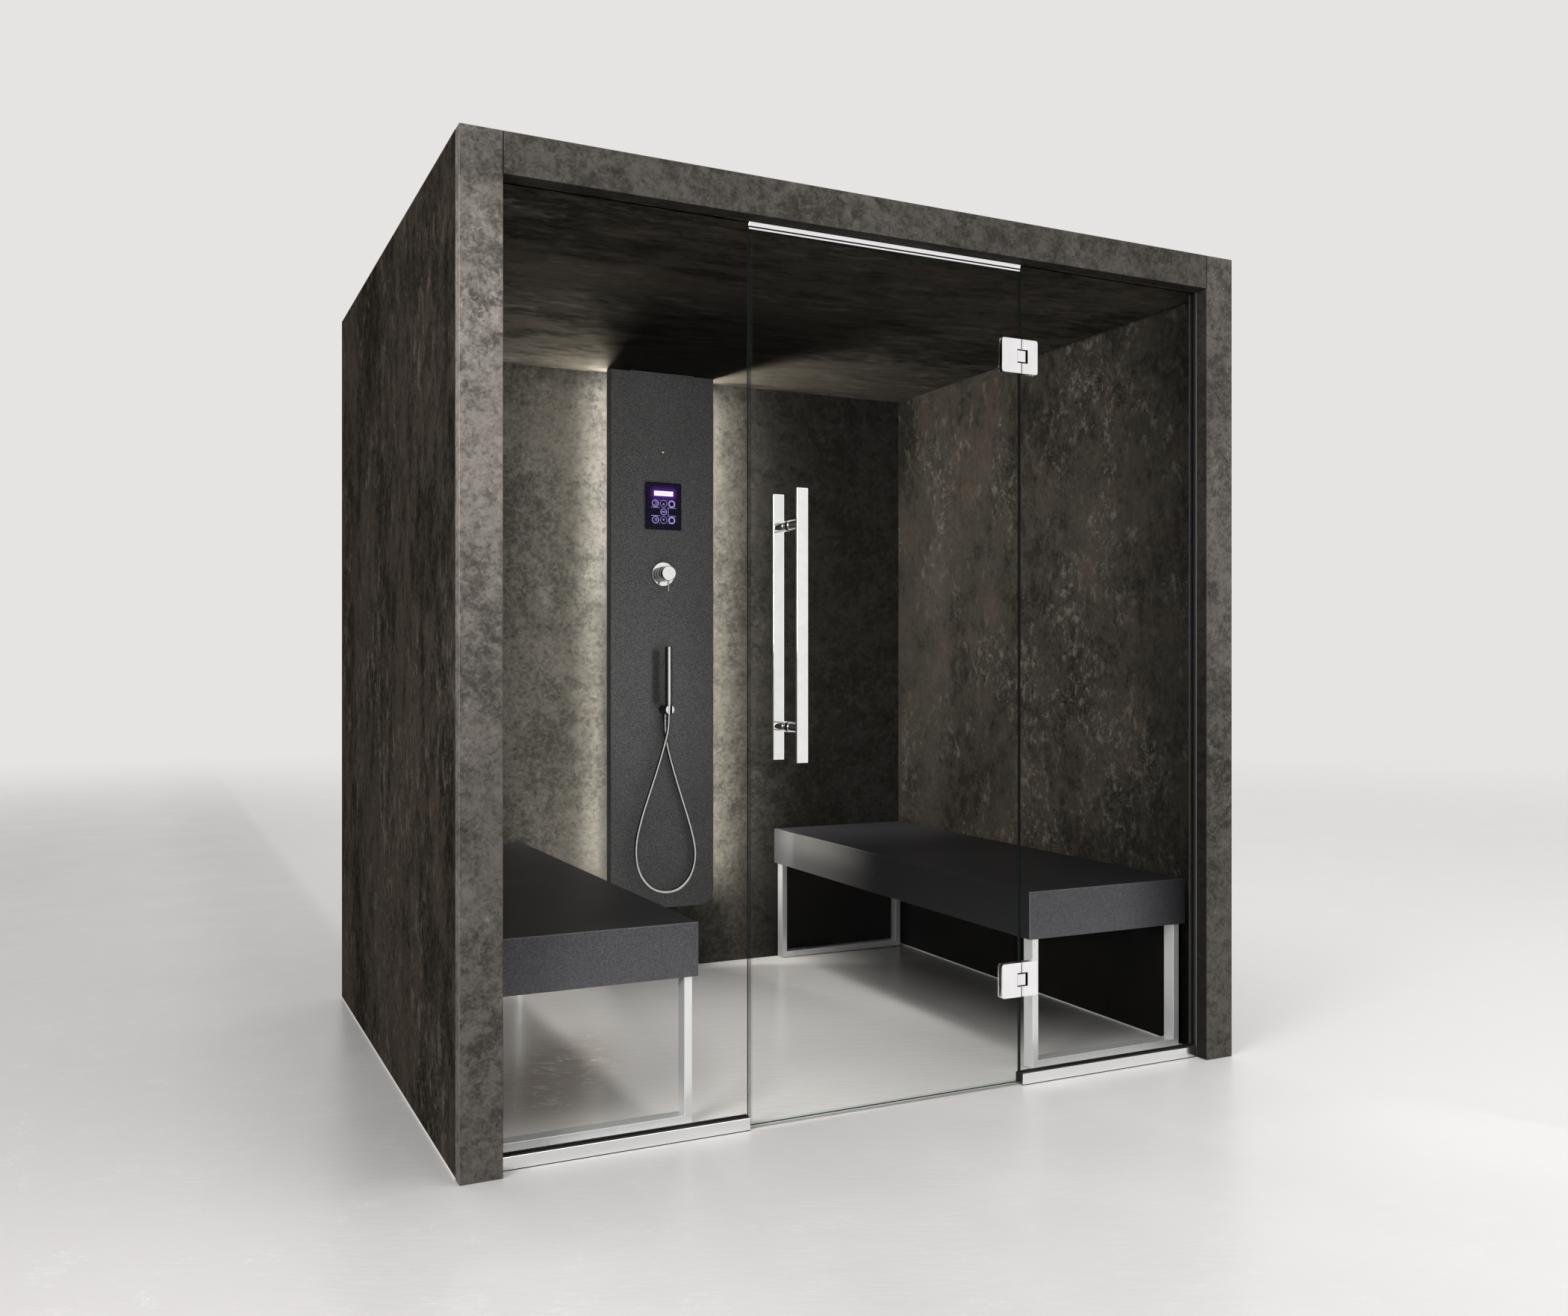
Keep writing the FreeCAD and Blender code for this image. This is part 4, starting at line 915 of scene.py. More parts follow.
# %% Stone recipe
def stone(name, dark, middle, pale, *, patches, fine, flakes, flecks, rust, sheen, gloss=0.55,
          stretch=(1, 1, 1), foot_line=None, warm=(0.11, 0.072, 0.048), shade=None):
    """A mottled ground with flakes, rust, curls and seams; noises go from half a metre down to 5 mm."""
    f = Finish(name)
    where, elsewhere = f.place(stretch), f.place(stretch, (0.4, 0.7, 0.2))
    clouds = f.noise(2.2, 4, 0.6, 0, where)
    crust = f.noise(15, 10, 0.70, 0, where)
    mottle = f.noise(62, 4, 0.65, 0.7, where)
    grain = f.noise(190, 2, 0.6, 0, where)
    # the ground: cloudy patches, mottled and grainy, from dark to middle
    patch = f.fade(crust + (clouds - 0.5) * 0.9, 0.40, 0.52)
    tone = f.fade(patch * patches + (crust - 0.5) * 1.0 + (mottle - 0.5) * fine + (grain - 0.5) * 0.7
                  + (clouds - 0.5) * 0.9 + 0.5 - patches * 0.5, 0.0, 1.0)
    colour = f.mix(tone, dark, middle)
    # paler flakes that gather in places, and a rusty tint that keeps to them
    gather = f.fade(f.noise(2.6, 7, 0.66, 0, elsewhere), 0.46, 0.60)
    flake = f.fade(f.noise(21, 9, 0.72, 0.2, elsewhere), 0.53, 0.62) * (gather * 0.8 + 0.2)
    light = tuple(m * 0.55 + p * 0.45 for m, p in zip(middle, pale))
    colour = f.mix(flake * flakes, colour, light)
    tint = f.fade(f.noise(4.3, 8, 0.7, 0, where), 0.52, 0.62) * rust
    colour = f.mix(tint * (flake * 0.6 + 0.4), colour, warm)
    # thin pale curls and seams: the places where a noise passes its middle, broken up by another noise
    curls = f.fade(abs(f.noise(27, 4, 0.62, 1.3, where) - 0.5), 0.020, 0.002)
    broken = f.fade(f.noise(60, 5, 0.75, 0, elsewhere), 0.48, 0.62)
    colour = f.mix(curls * broken * gather * flecks, colour, pale)
    seams = f.fade(abs(f.noise(3.4, 8, 0.6, 0.3, where) - 0.5), 0.005, 0.0)
    colour = f.mix(seams * broken * gather * flecks, colour, pale)
    # painted highlight: the rims go pale, as a fine arris catches light
    colour = f.mix(f.attribute("rim") * 0.55, colour, pale)
    # painted shade: the wall's mask darkens the colour towards a tenth of its dark tone
    if shade:
        colour = f.mix(shade(f), tuple(c * 0.1 for c in dark), colour)
    # painted highlight: a thin pale line along the foot of the wall, where it meets the floor
    if foot_line:
        colour = f.mix(f.fade(f.axis(2), foot_line, foot_line * 0.7), colour, (0.72, 0.71, 0.68))
    rough = gloss + (grain - 0.5) * 0.3 - tone * 0.08
    relief = crust * 0.6 + grain * 0.25 + flake * 0.1
    return f.done(f.surface(Base_Color=colour, Roughness=rough, Specular_IOR_Level=sheen,
                            Normal=f.bump(relief, 0.002, 0.5)))


print("stone recipe ready")

# %% [markdown]
# ## Shade on the stone
# The picture has deep shade under the benches, behind the glass and up in the ceiling, deeper than
# soft studio light gives. So each wall's finish gets a mask in metres, 1 where it keeps its colour
# and 0 where it is nearly black. It belongs to the wall, so it looks the same from every side.

# %% Shade of portal, walls and ceiling
POST_IN, POST_OUT = 0.990, 0.993  # the upright joints beside the lintel lie between these, left and right


def portal_shade(f):
    """Painted light and shade: the left post is lightest but for its top; feet, lintel, right post and
    opening faces are darker, and so are the joints.
    """
    x, z = f.axis(0), f.axis(2)
    lintel = 1 - f.fade(x, -POST_OUT, -POST_IN) * f.fade(x, POST_OUT, POST_IN) * 0.645
    right = 1 - f.fade(x, POST_IN, POST_OUT) * f.fade(z, 0.6, 2.0) * 0.45
    left_top = f.fade(z, 2.02, 2.2) * f.fade(x, -POST_IN, -POST_OUT) * 0.52
    height = f.fade(z, 0.7, 1.7) * 0.62 + 0.45 - left_top
    joint = 1 - f.fade(abs(abs(x) - 0.991), 0.0020, 0.0010) * f.fade(z, 2.156, 2.158) * 0.9
    opening = f.fade(abs(x), 0.9922, 0.9912) * f.fade(z, 2.1590, 2.1575)
    return lintel * right * height * joint * (1 - opening * 0.72)


def side_shade(f):
    """Painted shade: dark under the bench, a little darker towards the glass and the back corner, and nearly
    black just under the ceiling at the front.
    """
    y, z = f.axis(1), f.axis(2)
    under = f.fade(z, 0.36, 0.52) * 0.92 + 0.08
    front = f.fade(y, -0.85, -0.30) * 0.6 + 0.4
    corner = 1 - f.fade(y, 0.35, 0.8) * 0.35
    top = 1 - f.fade(z, 2.146, 2.158) * f.fade(y, 0.5, -0.3) * 0.9
    return under * front * corner * top


def back_shade(f):
    """Painted light and shade: lightest far left of the column, as its glow spreads; to its right darker, and
    darker still near the floor.
    """
    x, z = f.axis(0), f.axis(2)
    near_floor = f.fade(z, 0.1, 0.6) * 0.9 + 0.1
    left = f.fade(x, -0.29, -0.50) * 0.62 + 0.38 + f.fade(x, 0.2, 0.32) * 0.14
    return left * (1 - f.fade(x, 0.30, 0.55) * (1 - near_floor * 0.55))


def ceiling_shade(f):
    """Painted shade: the ceiling is darkest in the column's shadow, a wedge that widens forward and grows
    paler.
    """
    x, y = f.axis(0), f.axis(1)
    wedge = f.fade(abs(x) + (y - 0.766) * 0.42 - 0.2, 0.05, -0.08) * f.fade(y, -0.5, 0.3)
    return (1 - f.fade(x, -0.45, -0.1) * 0.12) * (1 - wedge * 0.62)


print("four masks of shade ready")

# %% Stone on portal, walls and ceiling
dress(stone("stone_front", (0.058, 0.0525, 0.0455), (0.215, 0.196, 0.173), (0.40, 0.37, 0.33),
            patches=0.12, fine=1.7, flakes=0.6, flecks=0.9, rust=0.06, gloss=0.65, sheen=0.06,
            shade=portal_shade), *portal)
dress(stone("stone_outside", (0.0080, 0.0068, 0.0054), (0.041, 0.0345, 0.0275), (0.125, 0.108, 0.088),
            stretch=(1, 1, 0.6), patches=0.12, fine=1.2, flakes=0.65, flecks=0.8, rust=0.4, gloss=0.8,
            sheen=0.0, foot_line=0.004, warm=(0.050, 0.034, 0.024)),
      "left_wall_outer_skin", "right_wall_outer_skin", "back_wall_outer_skin")
dress(stone("stone_back_wall", (0.052, 0.047, 0.039), (0.148, 0.137, 0.117), (0.27, 0.25, 0.22),
            patches=0.10, fine=2.0, flakes=0.6, flecks=0.5, rust=0.1, sheen=0.05,
            shade=back_shade), "back_wall_inner_skin")
dress(stone("stone_side_wall", (0.0125, 0.0107, 0.0084), (0.052, 0.0455, 0.037), (0.22, 0.20, 0.17),
            stretch=(1.45, 1.45, 1.1), patches=0.14, fine=1.5, flakes=0.8, flecks=0.95, rust=0.6, gloss=0.6,
            sheen=0.06, foot_line=0.004, warm=(0.090, 0.062, 0.045), shade=side_shade),
      "left_wall_inner_skin", "right_wall_inner_skin")
dress(stone("stone_ceiling", (0.0125, 0.0109, 0.0087), (0.048, 0.0425, 0.0345), (0.14, 0.126, 0.107),
            stretch=(0.4, 1, 1), patches=0.2, fine=1.3, flakes=0.6, flecks=0.4, rust=0.2, sheen=0.0,
            shade=ceiling_shade), "ceiling_inner_skin", "ceiling_outer_skin")

# %% [markdown]
# ## Metals
# Polished metal is a mirror: its look comes from what it reflects, so the finish adds faint smears that a
# cloth leaves, and rims tinted a light grey. Satin aluminium has hair lines.
# Small round fittings mirror the dark room at their sides and the bright studio only in front. How
# squarely each face looks at the room is stored on the mesh, and the finish darkens with it: a painted
# reflection of the dark room. Seams and grooves get painted shade.

# %% Which way the fittings face
def mark_front(piece):
    """Attribute front: how squarely each face corner looks at the room, 1 in front and 0 at the sides."""
    data = piece.data
    normals = np.empty(len(data.loops) * 3)
    data.corner_normals.foreach_get("vector", normals)
    data.attributes.new("front", "FLOAT", "CORNER").data.foreach_set("value", np.clip(-normals[1::3], 0, 1))


fittings = [hose, holder, rosette, dome, cap, lever, handset, cone, nut, sensor]
for piece in fittings:
    mark_front(piece)
print("fittings marked:", len(fittings))

# %% Metal recipe
def metal(name, colour, rough, wear, smear=18, stretch=(1, 1, 1), lines=0.0, bump=0.0, painted_dark=None,
          metallic=1.0):
    """A mirror with faint smears and rims tinted light grey, a painted highlight; lines are hair lines, and a
    mask paints dark seams or dark sides.
    """
    f = Finish(name)
    where = f.place(stretch)
    smears = f.noise(smear, 5, 0.6, 0.3, where)
    fine = f.noise(smear * 14, 3, 0.6, 0, where)
    tone = f.mix(f.fade(smears, 0.3, 0.75), tuple(c * 0.93 for c in colour), colour)
    # painted highlight: rims are tinted light grey, so edges of the darker metals catch light
    tone = f.mix(f.attribute("rim") * 0.35, tone, (0.9, 0.9, 0.9))
    # painted shade in seams and grooves, or on fittings a painted reflection of the dark room on their sides
    if painted_dark:
        tone = f.mix(painted_dark(f), tone, (0.012, 0.012, 0.013))
    roughness = rough + (smears - 0.5) * wear + (fine - 0.5) * lines
    sockets = dict(Base_Color=tone, Metallic=metallic, Roughness=roughness)
    if bump:
        sockets["Normal"] = f.bump(fine, 0.0003, bump)
    return f.done(f.surface(**sockets))


def hinge_seam_shade(f):
    """Painted shade in a hinge's joints: the seam beside the barrel, and the outline of the knuckle block."""
    def line(distance, half_width):
        return f.fade(distance, half_width + 0.0004, half_width - 0.0004)

    x, z = f.axis(0), f.axis(2)
    seam_x, block_x, block_side_x, knuckle = 0.3946, 0.3973, 0.4116, 0.016
    lowest, highest = spans("hinge_knuckles")[2]
    middle, half = (lowest + highest) / 2 * MM, (highest - lowest) / 2 * MM - knuckle
    up = abs(abs(z - middle) - half)
    seam = line(abs(x - seam_x), 0.0020) * f.fade(up, knuckle, knuckle + 0.0006)
    above = line(abs(up - knuckle - 0.0002), 0.0018) * line(abs(x - block_x), 0.0164)
    beside = line(abs(x - block_side_x), 0.0022) * f.fade(up, knuckle + 0.0006, knuckle)
    return seam.math("MAXIMUM", seam, above.math("MAXIMUM", above, beside))


def dark_side_reflection(f):
    """Painted reflection of the dark room: nearly black where a fitting's face turns away from the room."""
    return f.fade(f.attribute("front"), 0.86, 0.50) * 0.94


def bar_groove_shade(f):
    """Painted shade in the header bar's grooves and at its foot, and a painted shadow at the floor channels'
    foot.
    """
    z = f.axis(2)
    grooves = f.fade(abs(z - sum(GROOVE_Z) / 2 * MM), 0.0021, 0.0014)
    bar_foot = f.fade(abs(z - bar_z0 * MM), 0.0012, 0.0006)
    return grooves.math("MAXIMUM", grooves, bar_foot.math("MAXIMUM", bar_foot, f.fade(z, 0.0026, 0.0018)))


# the dark joints are painted shade in seams and grooves, and on fittings a painted reflection of the dark
# room
print("metal recipe and its dark joints ready")

# %% Metal on fittings and fixings
CHROME = (0.95, 0.95, 0.955)
dress(metal("chrome", CHROME, 0.07, 0.05), bars, standoffs)
dress(metal("fitting_chrome", CHROME, 0.07, 0.05, painted_dark=dark_side_reflection), *fittings)
dress(metal("hinge_chrome", CHROME, 0.09, 0.05, painted_dark=hinge_seam_shade), *hinge_parts)
dress(metal("polished_aluminium", (0.95, 0.95, 0.95), 0.17, 0.08, stretch=(0.1, 1, 1), lines=0.05, bump=0.1,
            painted_dark=bar_groove_shade), channels, header)
dress(metal("satin_aluminium", (0.88, 0.885, 0.89), 0.30, 0.08, stretch=(1, 1, 0.08), lines=0.12, bump=0.2,
            metallic=0.6), frames, "led_profiles")
dress(metal("steel", (0.60, 0.59, 0.57), 0.32, 0.12, lines=0.1),
      "hinge_pins", "door_hinge_screws", "pane_hinge_screws", "steam_pipe", screws)
dress(metal("galvanised_steel", (0.56, 0.58, 0.60), 0.42, 0.22, smear=60, lines=0.1, bump=0.2),
      "column_spine", "roof_brackets")
dress(metal("brass", (0.72, 0.50, 0.22), 0.30, 0.12, lines=0.08), "mixer_valve")
dress(metal("copper", (0.78, 0.42, 0.28), 0.28, 0.2, smear=25, lines=0.08), "supply_pipes")

# %% [markdown]
# ## Painted and moulded surfaces
# Benches and column have a fine-textured powder coat: a dark colour with tiny pale grains and an
# orange-peel bump. Rubber and plastic are simpler, but they too vary a little, because nothing real
# is one flat colour.

# %% Coating recipe
def coating(name, colour, grain_colour, rough, grain_scale=420, grain=0.35, grain_span=(0.50, 0.72),
            bump=0.35, specular=0.5, rim_highlight_colour=None, shade=None, lit=None):
    """Fine grains on a slow drift of tone; shade and lit are masks of painted shade and painted light."""
    f = Finish(name)
    grains = f.noise(grain_scale, 3, 0.65)
    drift = f.noise(3.0, 4, 0.55, 0.2)
    tone = f.mix(f.fade(grains, *grain_span) * grain, colour, grain_colour)
    tone = f.mix(f.fade(drift, 0.35, 0.75) * 0.25, tone, tuple(c * 0.7 for c in colour))
    # painted highlight: the rims go towards a lighter colour
    if rim_highlight_colour:
        tone = f.mix(f.attribute("rim") * 0.6, tone, rim_highlight_colour)
    # painted shade
    if shade:
        tone = f.mix(shade(f), tuple(c * 0.1 for c in colour), tone)
    # painted light
    if lit:
        tone = f.mix(lit(f), tone, (0.30, 0.288, 0.270))
    roughness = rough + (drift - 0.5) * 0.10 + (grains - 0.5) * 0.12
    return f.done(f.surface(Base_Color=tone, Roughness=roughness, Specular_IOR_Level=specular,
                            Normal=f.bump(grains, 0.0004, bump)))


BENCH_FRONT = spans("bench_left_seat")[1][0]


def bench_shade(f):
    """Painted shade: the fronts face the light; tops and sides are darker, but for their ends by the lit
    wall.
    """
    x, y = f.axis(0), f.axis(1)
    front = f.fade(y, (BENCH_FRONT + 4) * MM, (BENCH_FRONT + 2) * MM)
    # painted shade: the right bench's front darkens towards its right end
    right_end = f.fade(x, 0.78, 1.02) * 0.6
    by_wall = f.fade(y, 0.15, 0.65) * (f.fade(x, -0.1, 0.1) * 0.40 + 0.08)
    return front * (1 - right_end) + (1 - front) * (0.10 + by_wall)


def bench_glow(f):
    """Painted light: the side of the right bench catches the column's light near its back end."""
    x, y, z = f.axis(0), f.axis(1), f.axis(2)
    side = f.fade(x, 0.4885, 0.4865) * f.fade(x, 0.3, 0.4) * (f.fade(z, 0.38, 0.46) * 0.6 + 0.4)
    return side * f.fade(abs(y - 0.47), 0.42, 0.0) * 0.85


def column_shade(f):
    """Painted shade: darker towards its foot and right edge, in the hand shower's shadow, and on its left
    side face.
    """
    x, z = f.axis(0), f.axis(2)
    foot, head = (end * MM for end in spans("shower_handset")[2])
    beside = f.fade(abs(x + 0.027), 0.021, 0.006)
    shadow = beside * f.fade(z, foot - 0.02, foot + 0.02) * f.fade(z, head, head - 0.02)
    edge = f.fade(x, -0.1946, -0.1960)
    low_down = f.fade(z, 0.15, 1.1) * 0.55 + 0.45
    return low_down * (1 - f.fade(x, 0.0, 0.19) * 0.2) * (1 - shadow * 0.6) * (1 - edge * 0.85)


print("coating recipe ready; the benches' fronts are at y =", round(BENCH_FRONT))

# %% Coatings and plastics
dress(coating("anthracite_bench", (0.044, 0.0415, 0.0465), (0.115, 0.110, 0.122), 0.46, grain_scale=360,
              grain=0.8, grain_span=(0.38, 0.66), rim_highlight_colour=(0.16, 0.16, 0.17), specular=0.2,
              shade=bench_shade, lit=bench_glow), *seats)
dress(coating("column_grey", (0.105, 0.103, 0.107), (0.42, 0.412, 0.42), 0.50, grain_scale=330, grain=0.9,
              grain_span=(0.38, 0.66), rim_highlight_colour=(0.35, 0.35, 0.36), specular=0.3,
              shade=column_shade), cover)
dress(coating("black_rubber", (0.008, 0.008, 0.008), (0.02, 0.02, 0.02), 0.55),
      "glazing_gaskets", "frame_glides")
dress(coating("black_plastic", (0.022, 0.022, 0.023), (0.05, 0.05, 0.05), 0.42), "keypad_housing", driver)
dress(coating("white_plastic", (0.72, 0.72, 0.70), (0.8, 0.8, 0.78), 0.35), "mixer_cartridge")
dress(coating("grey_profile", (0.125, 0.121, 0.116), (0.17, 0.165, 0.16), 0.4, specular=0.3),
      "glass_wall_profiles")
dress(coating("graphite_foam", (0.030, 0.029, 0.028), (0.065, 0.063, 0.060), 0.85, grain_scale=260, grain=0.7,
              bump=0.8, specular=0.1),
      "left_wall_core", "right_wall_core", "back_wall_core", "ceiling_core", "bench_cores")
dress(coating("keypad_readout_ink", (0.55, 0.60, 0.52), (0.6, 0.62, 0.55), 0.4), readout)

# %% [markdown]
# ## Glass
# A pane that really bends light costs much and shows little at eight millimetres. So a pane lets
# light straight through and adds a faint mirror that grows as it is seen more from the side. Its cut
# edge is dark green, as it is on real glass.

# %% Clear glass and seals
def pane_finish(edge=(0.010, 0.017, 0.015), mirror_share=0.03):
    """Clear, with a mirror of share * (0.04 + 0.96 facing^5), and a dark green cut edge."""
    f = Finish("clear_glass")
    cut_edge = f.fade(abs(f.axis(1) - GLASS_MID * MM), 0.0039, 0.0037)
    streaks = f.noise(7, 4, 0.6, 0.3)
    mirror = f.node("ShaderNodeBsdfGlossy", {}, {"Color": (1, 1, 1), "Roughness": 0.02}).outputs[0]
    facing = Varying(f, f.node("ShaderNodeLayerWeight", {}, {"Blend": 0.5}).outputs["Facing"])
    grazing = facing ** 5.0 * 0.96 + 0.04
    pane = f.blend(grazing * mirror_share * (0.9 + streaks * 0.2), f.clear((0.985, 0.991, 0.987)), mirror)
    rim = f.surface(Base_Color=edge, Roughness=0.25, Specular_IOR_Level=0.1)
    return f.done(f.blend(cut_edge, pane, rim))


def seal_finish():
    """Soft clear plastic: nearly all light goes straight through it, and a trace of it is milky."""
    f = Finish("clear_seal")
    haze = f.noise(55, 3, 0.6)
    body = f.surface(Base_Color=(0.45, 0.47, 0.46), Roughness=0.25, Specular_IOR_Level=0.6)
    return f.done(f.blend(0.002 + haze * 0.01, f.clear((0.93, 0.95, 0.94)), body))


dress(pane_finish(), "fixed_glass_left", "fixed_glass_right", "door_glass")
dress(seal_finish(), "door_side_seal", "door_bottom_seal", "handle_washers")

# %% Lights and keypad
def glowing(name, colour, strength, body=(0.8, 0.8, 0.8), spots=0.0):
    """A lit surface: the emission may drift a little, as behind a diffuser over a row of lamps."""
    f = Finish(name)
    row = f.noise(60, 2, 0.5) * spots + (1 - spots * 0.5)
    tone = f.mix(row, tuple(c * 0.8 for c in colour), colour)
    return f.done(f.surface(Base_Color=body, Roughness=0.4, Emission_Color=tone, Emission_Strength=strength))


def keypad_glass_finish():
    """Black glass with a violet glow that fades with the distance from the display's box."""
    f = Finish("keypad_black_glass")
    half_wide, half_high, display_z = 0.034, 0.008, (face_centre[1] + 45) * MM
    right = abs(f.axis(0)) - half_wide
    up = abs(f.axis(2) - display_z) - half_high
    outside = {0: right.math("MAXIMUM", right, 0.0), 2: up.math("MAXIMUM", up, 0.0)}
    away = f.node("ShaderNodeCombineXYZ", {}, outside).outputs[0]
    length = f.node("ShaderNodeVectorMath", {"operation": "LENGTH"}, {0: away}).outputs["Value"]
    near = f.fade(Varying(f, length), 0.028, 0.0) ** 1.6
    cloud = f.noise(40, 3, 0.5)
    glow = f.mix(near * (0.8 + cloud * 0.4), (0.004, 0.0018, 0.010), (0.062, 0.012, 0.20))
    return f.done(f.surface(Base_Color=(0.006, 0.0055, 0.0065), Roughness=0.12 + cloud * 0.06,
                            Specular_IOR_Level=0.06, Emission_Color=glow, Emission_Strength=1.0))


dress(glowing("opal_diffuser", (1.0, 0.98, 0.94), 90.0, spots=0.25), "led_diffusers")
dress(glowing("keypad_mark_light", (0.42, 0.36, 0.92), 0.85, (0.02, 0.02, 0.02)), keypad_marks)
dress(glowing("keypad_display_light", (0.98, 0.92, 1.0), 1.0, (0.2, 0.2, 0.2)), display)
dress(keypad_glass_finish(), keypad)

# %% Nothing left bare
bare = [piece.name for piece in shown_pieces() if piece.name not in dressed]
print("dressed", len(dressed), "pieces; still bare:", bare)

# %% [markdown]
# ## The studio
# The cabin stands on a pale glossy floor in an even white studio. The floor fades into the
# background at a distance, so that no horizon shows from any side.

# %% Floor
FLOOR_RADIUS, FLOOR_Z, AROUND = 16, -0.0004, 96
angle = np.linspace(0, 2 * np.pi, AROUND, endpoint=False)
ring = np.array([0.001, 1, 2, 3, 4, 6, 8, 11, FLOOR_RADIUS])[:, None]
level = np.full((len(ring), AROUND), FLOOR_Z)
floor_points = np.stack([ring * np.cos(angle), ring * np.sin(angle), level], 2)
floor = piece_from("floor", floor_points, grid_faces(len(ring), AROUND))
floor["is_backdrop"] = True


def floor_finish():
    """Pale poured floor with ripples and short crinkles, painted shade beside the cabin and under the
    benches.
    """
    f = Finish("studio_floor")
    x, y = f.axis(0), f.axis(1)
    # the crinkles lie across a line that runs 26 degrees from y; side and along are measured by that line
    side, along = x * 0.9 - y * 0.436, x * 0.436 + y * 0.9
    across = f.node("ShaderNodeCombineXYZ", {}, {0: side * 0.22, 1: along}).outputs[0]
    ripples = f.noise(16, 4, 0.6, 0.3, f.place((0.35, 1, 1)))
    crinkle = f.noise(64, 5, 0.65, 0.6, across)
    blotch = f.noise(2.4, 6, 0.62)
    # the floor outside: greyer to the left and in soft shadow beside the wall, both painted shade, with pale
    # scratches
    tone = f.mix(f.fade(x + (blotch - 0.5) * 0.8, -2.6, 2.0), (0.50, 0.488, 0.486), (0.82, 0.812, 0.812))
    beside = f.fade(x + (blotch - 0.5) * 0.2, -1.7, -1.2) * f.fade(y, -1.3, -0.7) * f.fade(x, -0.9, -1.0)
    tone = f.mix(beside * 0.17, tone, (0.05, 0.048, 0.046))
    scratches = f.fade(abs(crinkle - 0.5), 0.010, 0.0) * f.fade(f.noise(9, 4, 0.7), 0.52, 0.62)
    tone = f.mix(scratches * 0.5, tone, (0.95, 0.945, 0.945))
    # the floor inside: painted shade under the benches and near the glass
    inside = f.fade(abs(x), 1.06, 1.03) * f.fade(y, -0.87, -0.84) * f.fade(y, 0.9, 0.86)
    under_right = f.fade(x, 0.48, 0.94) * f.fade(y, -0.75, -0.15) * 0.82
    under_left = f.fade(x, -0.12, -0.5) * f.fade(y, -0.8, -0.3) * (0.20 - f.fade(x, -0.55, -0.75) * 0.14)
    near_glass = f.fade(y, 0.0, -0.5) * f.fade(x, -0.25, 0.25) * 0.16
    room = f.mix(under_left + under_right + near_glass, (0.87, 0.836, 0.815), (0.02, 0.018, 0.016))
    # painted reflection under the left bench: a brown patch of the lit wall, with painted glints and a bright
    # streak
    glints = f.fade(abs(f.noise(52, 4, 0.6, 0.4, across) - 0.5), 0.022, 0.004)
    glints = glints * f.fade(f.noise(14, 4, 0.6), 0.45, 0.58)
    patch = f.fade(((side + 0.513) ** 2 * 30 + (along + 0.50) ** 2 * 4.2) ** 0.5, 1.15, 0.35)
    room = f.mix(patch * (0.35 + blotch * 0.5), room, (0.34, 0.27, 0.225))
    reflected_streak = f.fade(abs(side + 0.706 + (along + 0.06) * 0.2), 0.050, 0.0) * f.fade(along, -0.50, -0.15)
    room = f.mix(patch * glints * 0.9 + reflected_streak * f.fade(along, 0.25, 0.05) * 0.8, room, (1.0, 0.96, 0.92))
    tone = f.mix(inside, tone, room)
    rough = 0.32 + (blotch - 0.5) * 0.25 - inside * 0.18
    shader = f.surface(Base_Color=tone, Roughness=rough, Specular_IOR_Level=0.5,
                       Normal=f.bump(ripples * 0.7 + crinkle * (0.4 + inside * 0.4), 0.004, 0.35))
    radius = (x * x + y * y) ** 0.5
    return f.done(f.blend(f.fade(radius, 4.5, 15.0), shader, f.clear()))


floor.data.materials.append(floor_finish())
print("floor", 2 * FLOOR_RADIUS, "m across")

# %% Lights
world = bpy.data.worlds.new("studio")
scene.world = world
world.use_nodes = True
background = world.node_tree.nodes["Background"]
background.inputs["Color"].default_value = (0.790, 0.776, 0.770, 1)
background.inputs["Strength"].default_value = 1.0


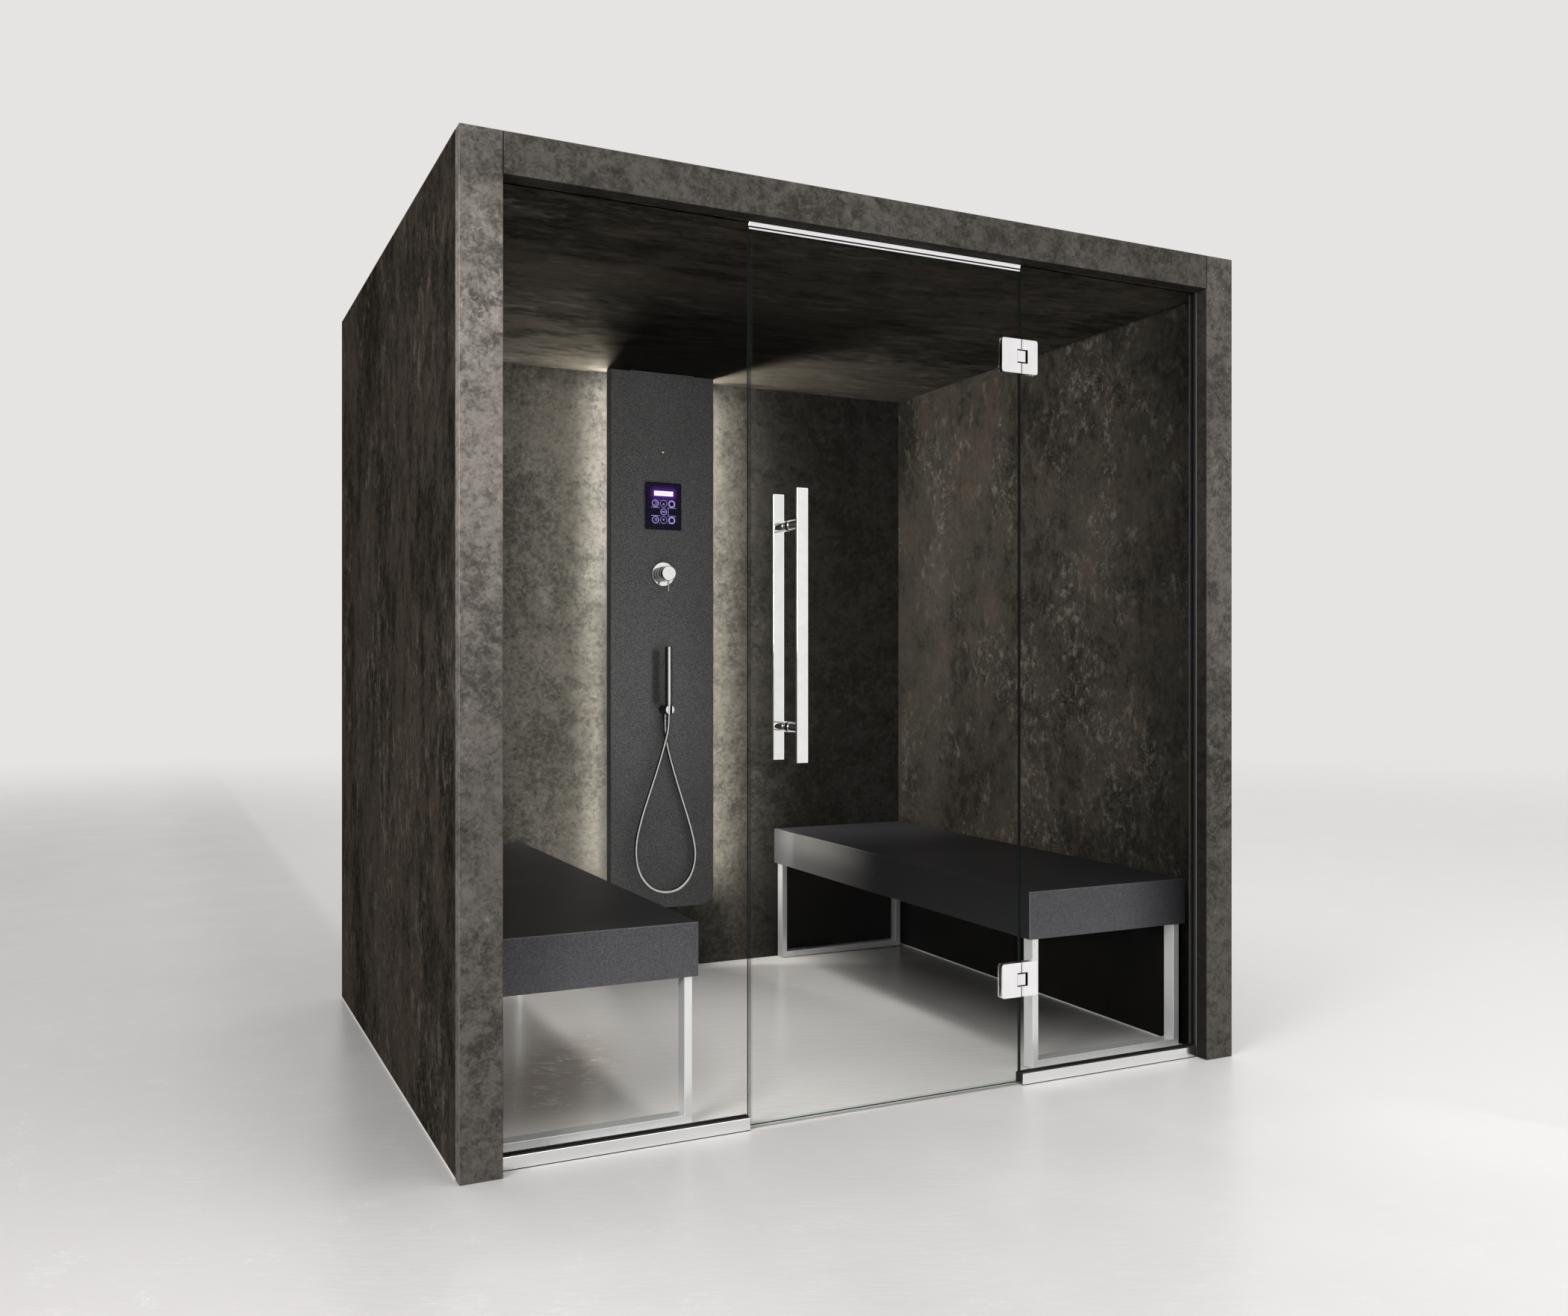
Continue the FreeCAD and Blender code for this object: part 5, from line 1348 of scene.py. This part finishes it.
def softbox(name, place, target, size, power, colour=(1, 1, 1), height=None, glossy=True, spread=180):
    """An area light at a place, turned to face a target: a square, or a rectangle with a height."""
    data = bpy.data.lights.new(name, "AREA")
    data.size, data.energy, data.color, data.spread = size, power, colour, math.radians(spread)
    if height:
        data.shape, data.size_y = "RECTANGLE", height
    light = bpy.data.objects.new(name, data)
    light.location = place
    away = np.array(place, float) - np.array(target, float)
    tilt = math.atan2(math.hypot(away[0], away[1]), away[2])
    light.rotation_euler = (tilt, 0, math.atan2(away[0], -away[1]))
    light.visible_camera, light.visible_glossy = False, glossy
    scene.collection.objects.link(light)
    return light


softbox("side", (-4.0, -3.0, 2.0), (0.4, -0.2, 1.1), 1.6, 130)
softbox("overhead", (0.5, -2.5, 6.0), (0.5, -2.0, 0), 5.0, 150)
# a white card that only the polished metal mirrors, so that it looks bright from the camera's side
card = softbox("card", (2.1, -4.6, 1.7), (0.1, -0.84, 1.3), 3.2, 3)
card.visible_diffuse = False
print("side, overhead and card in the studio")

# %% [markdown]
# ## Light inside the cabin
# The diffusers light the wall beside the column. Beside the cover, unseen, two more strips a side
# carry their glow further: one along the wall, and one from higher up forward to the ceiling. A soft
# lamp under the ceiling lights the floor between the benches, and a weak one the floor under the
# left bench, which shines with the light from the wall.

# %% Strips and lamps
# place and target across and along the cabin, height of the middle, length; then the powers, left and right
STRIPS = (
    ((0.2008, 0.797), (1.0, 0.997), 1.21, 1.8, (8.0, 7.5)),
    ((0.187, 0.848), (0.30, -0.5), 1.75, 0.75, (22, 14)),
)
for k, side in enumerate((-1, 1)):
    for (x, y), (to_x, to_y), middle, length, powers in STRIPS:
        softbox(f"glow_{side + 2}", (side * x, y, middle), (side * to_x, to_y, middle), 0.010, powers[k],
                (1, 0.99, 0.96), length, glossy=False)
softbox("lamp", (0, 0.1, 2.12), (0, 0.1, 0), 0.6, 2.2, glossy=False, spread=60)
softbox("under_bench", (-0.74, -0.05, 0.345), (-0.74, -0.05, 0), 0.42, 0.4, (1, 0.96, 0.92), 1.2,
        glossy=False)
scene.view_settings.view_transform = "Standard"

# %% Sizes and finish
low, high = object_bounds()
print("visual box in metres:", [round(v, 4) for v in (*low, *high)])
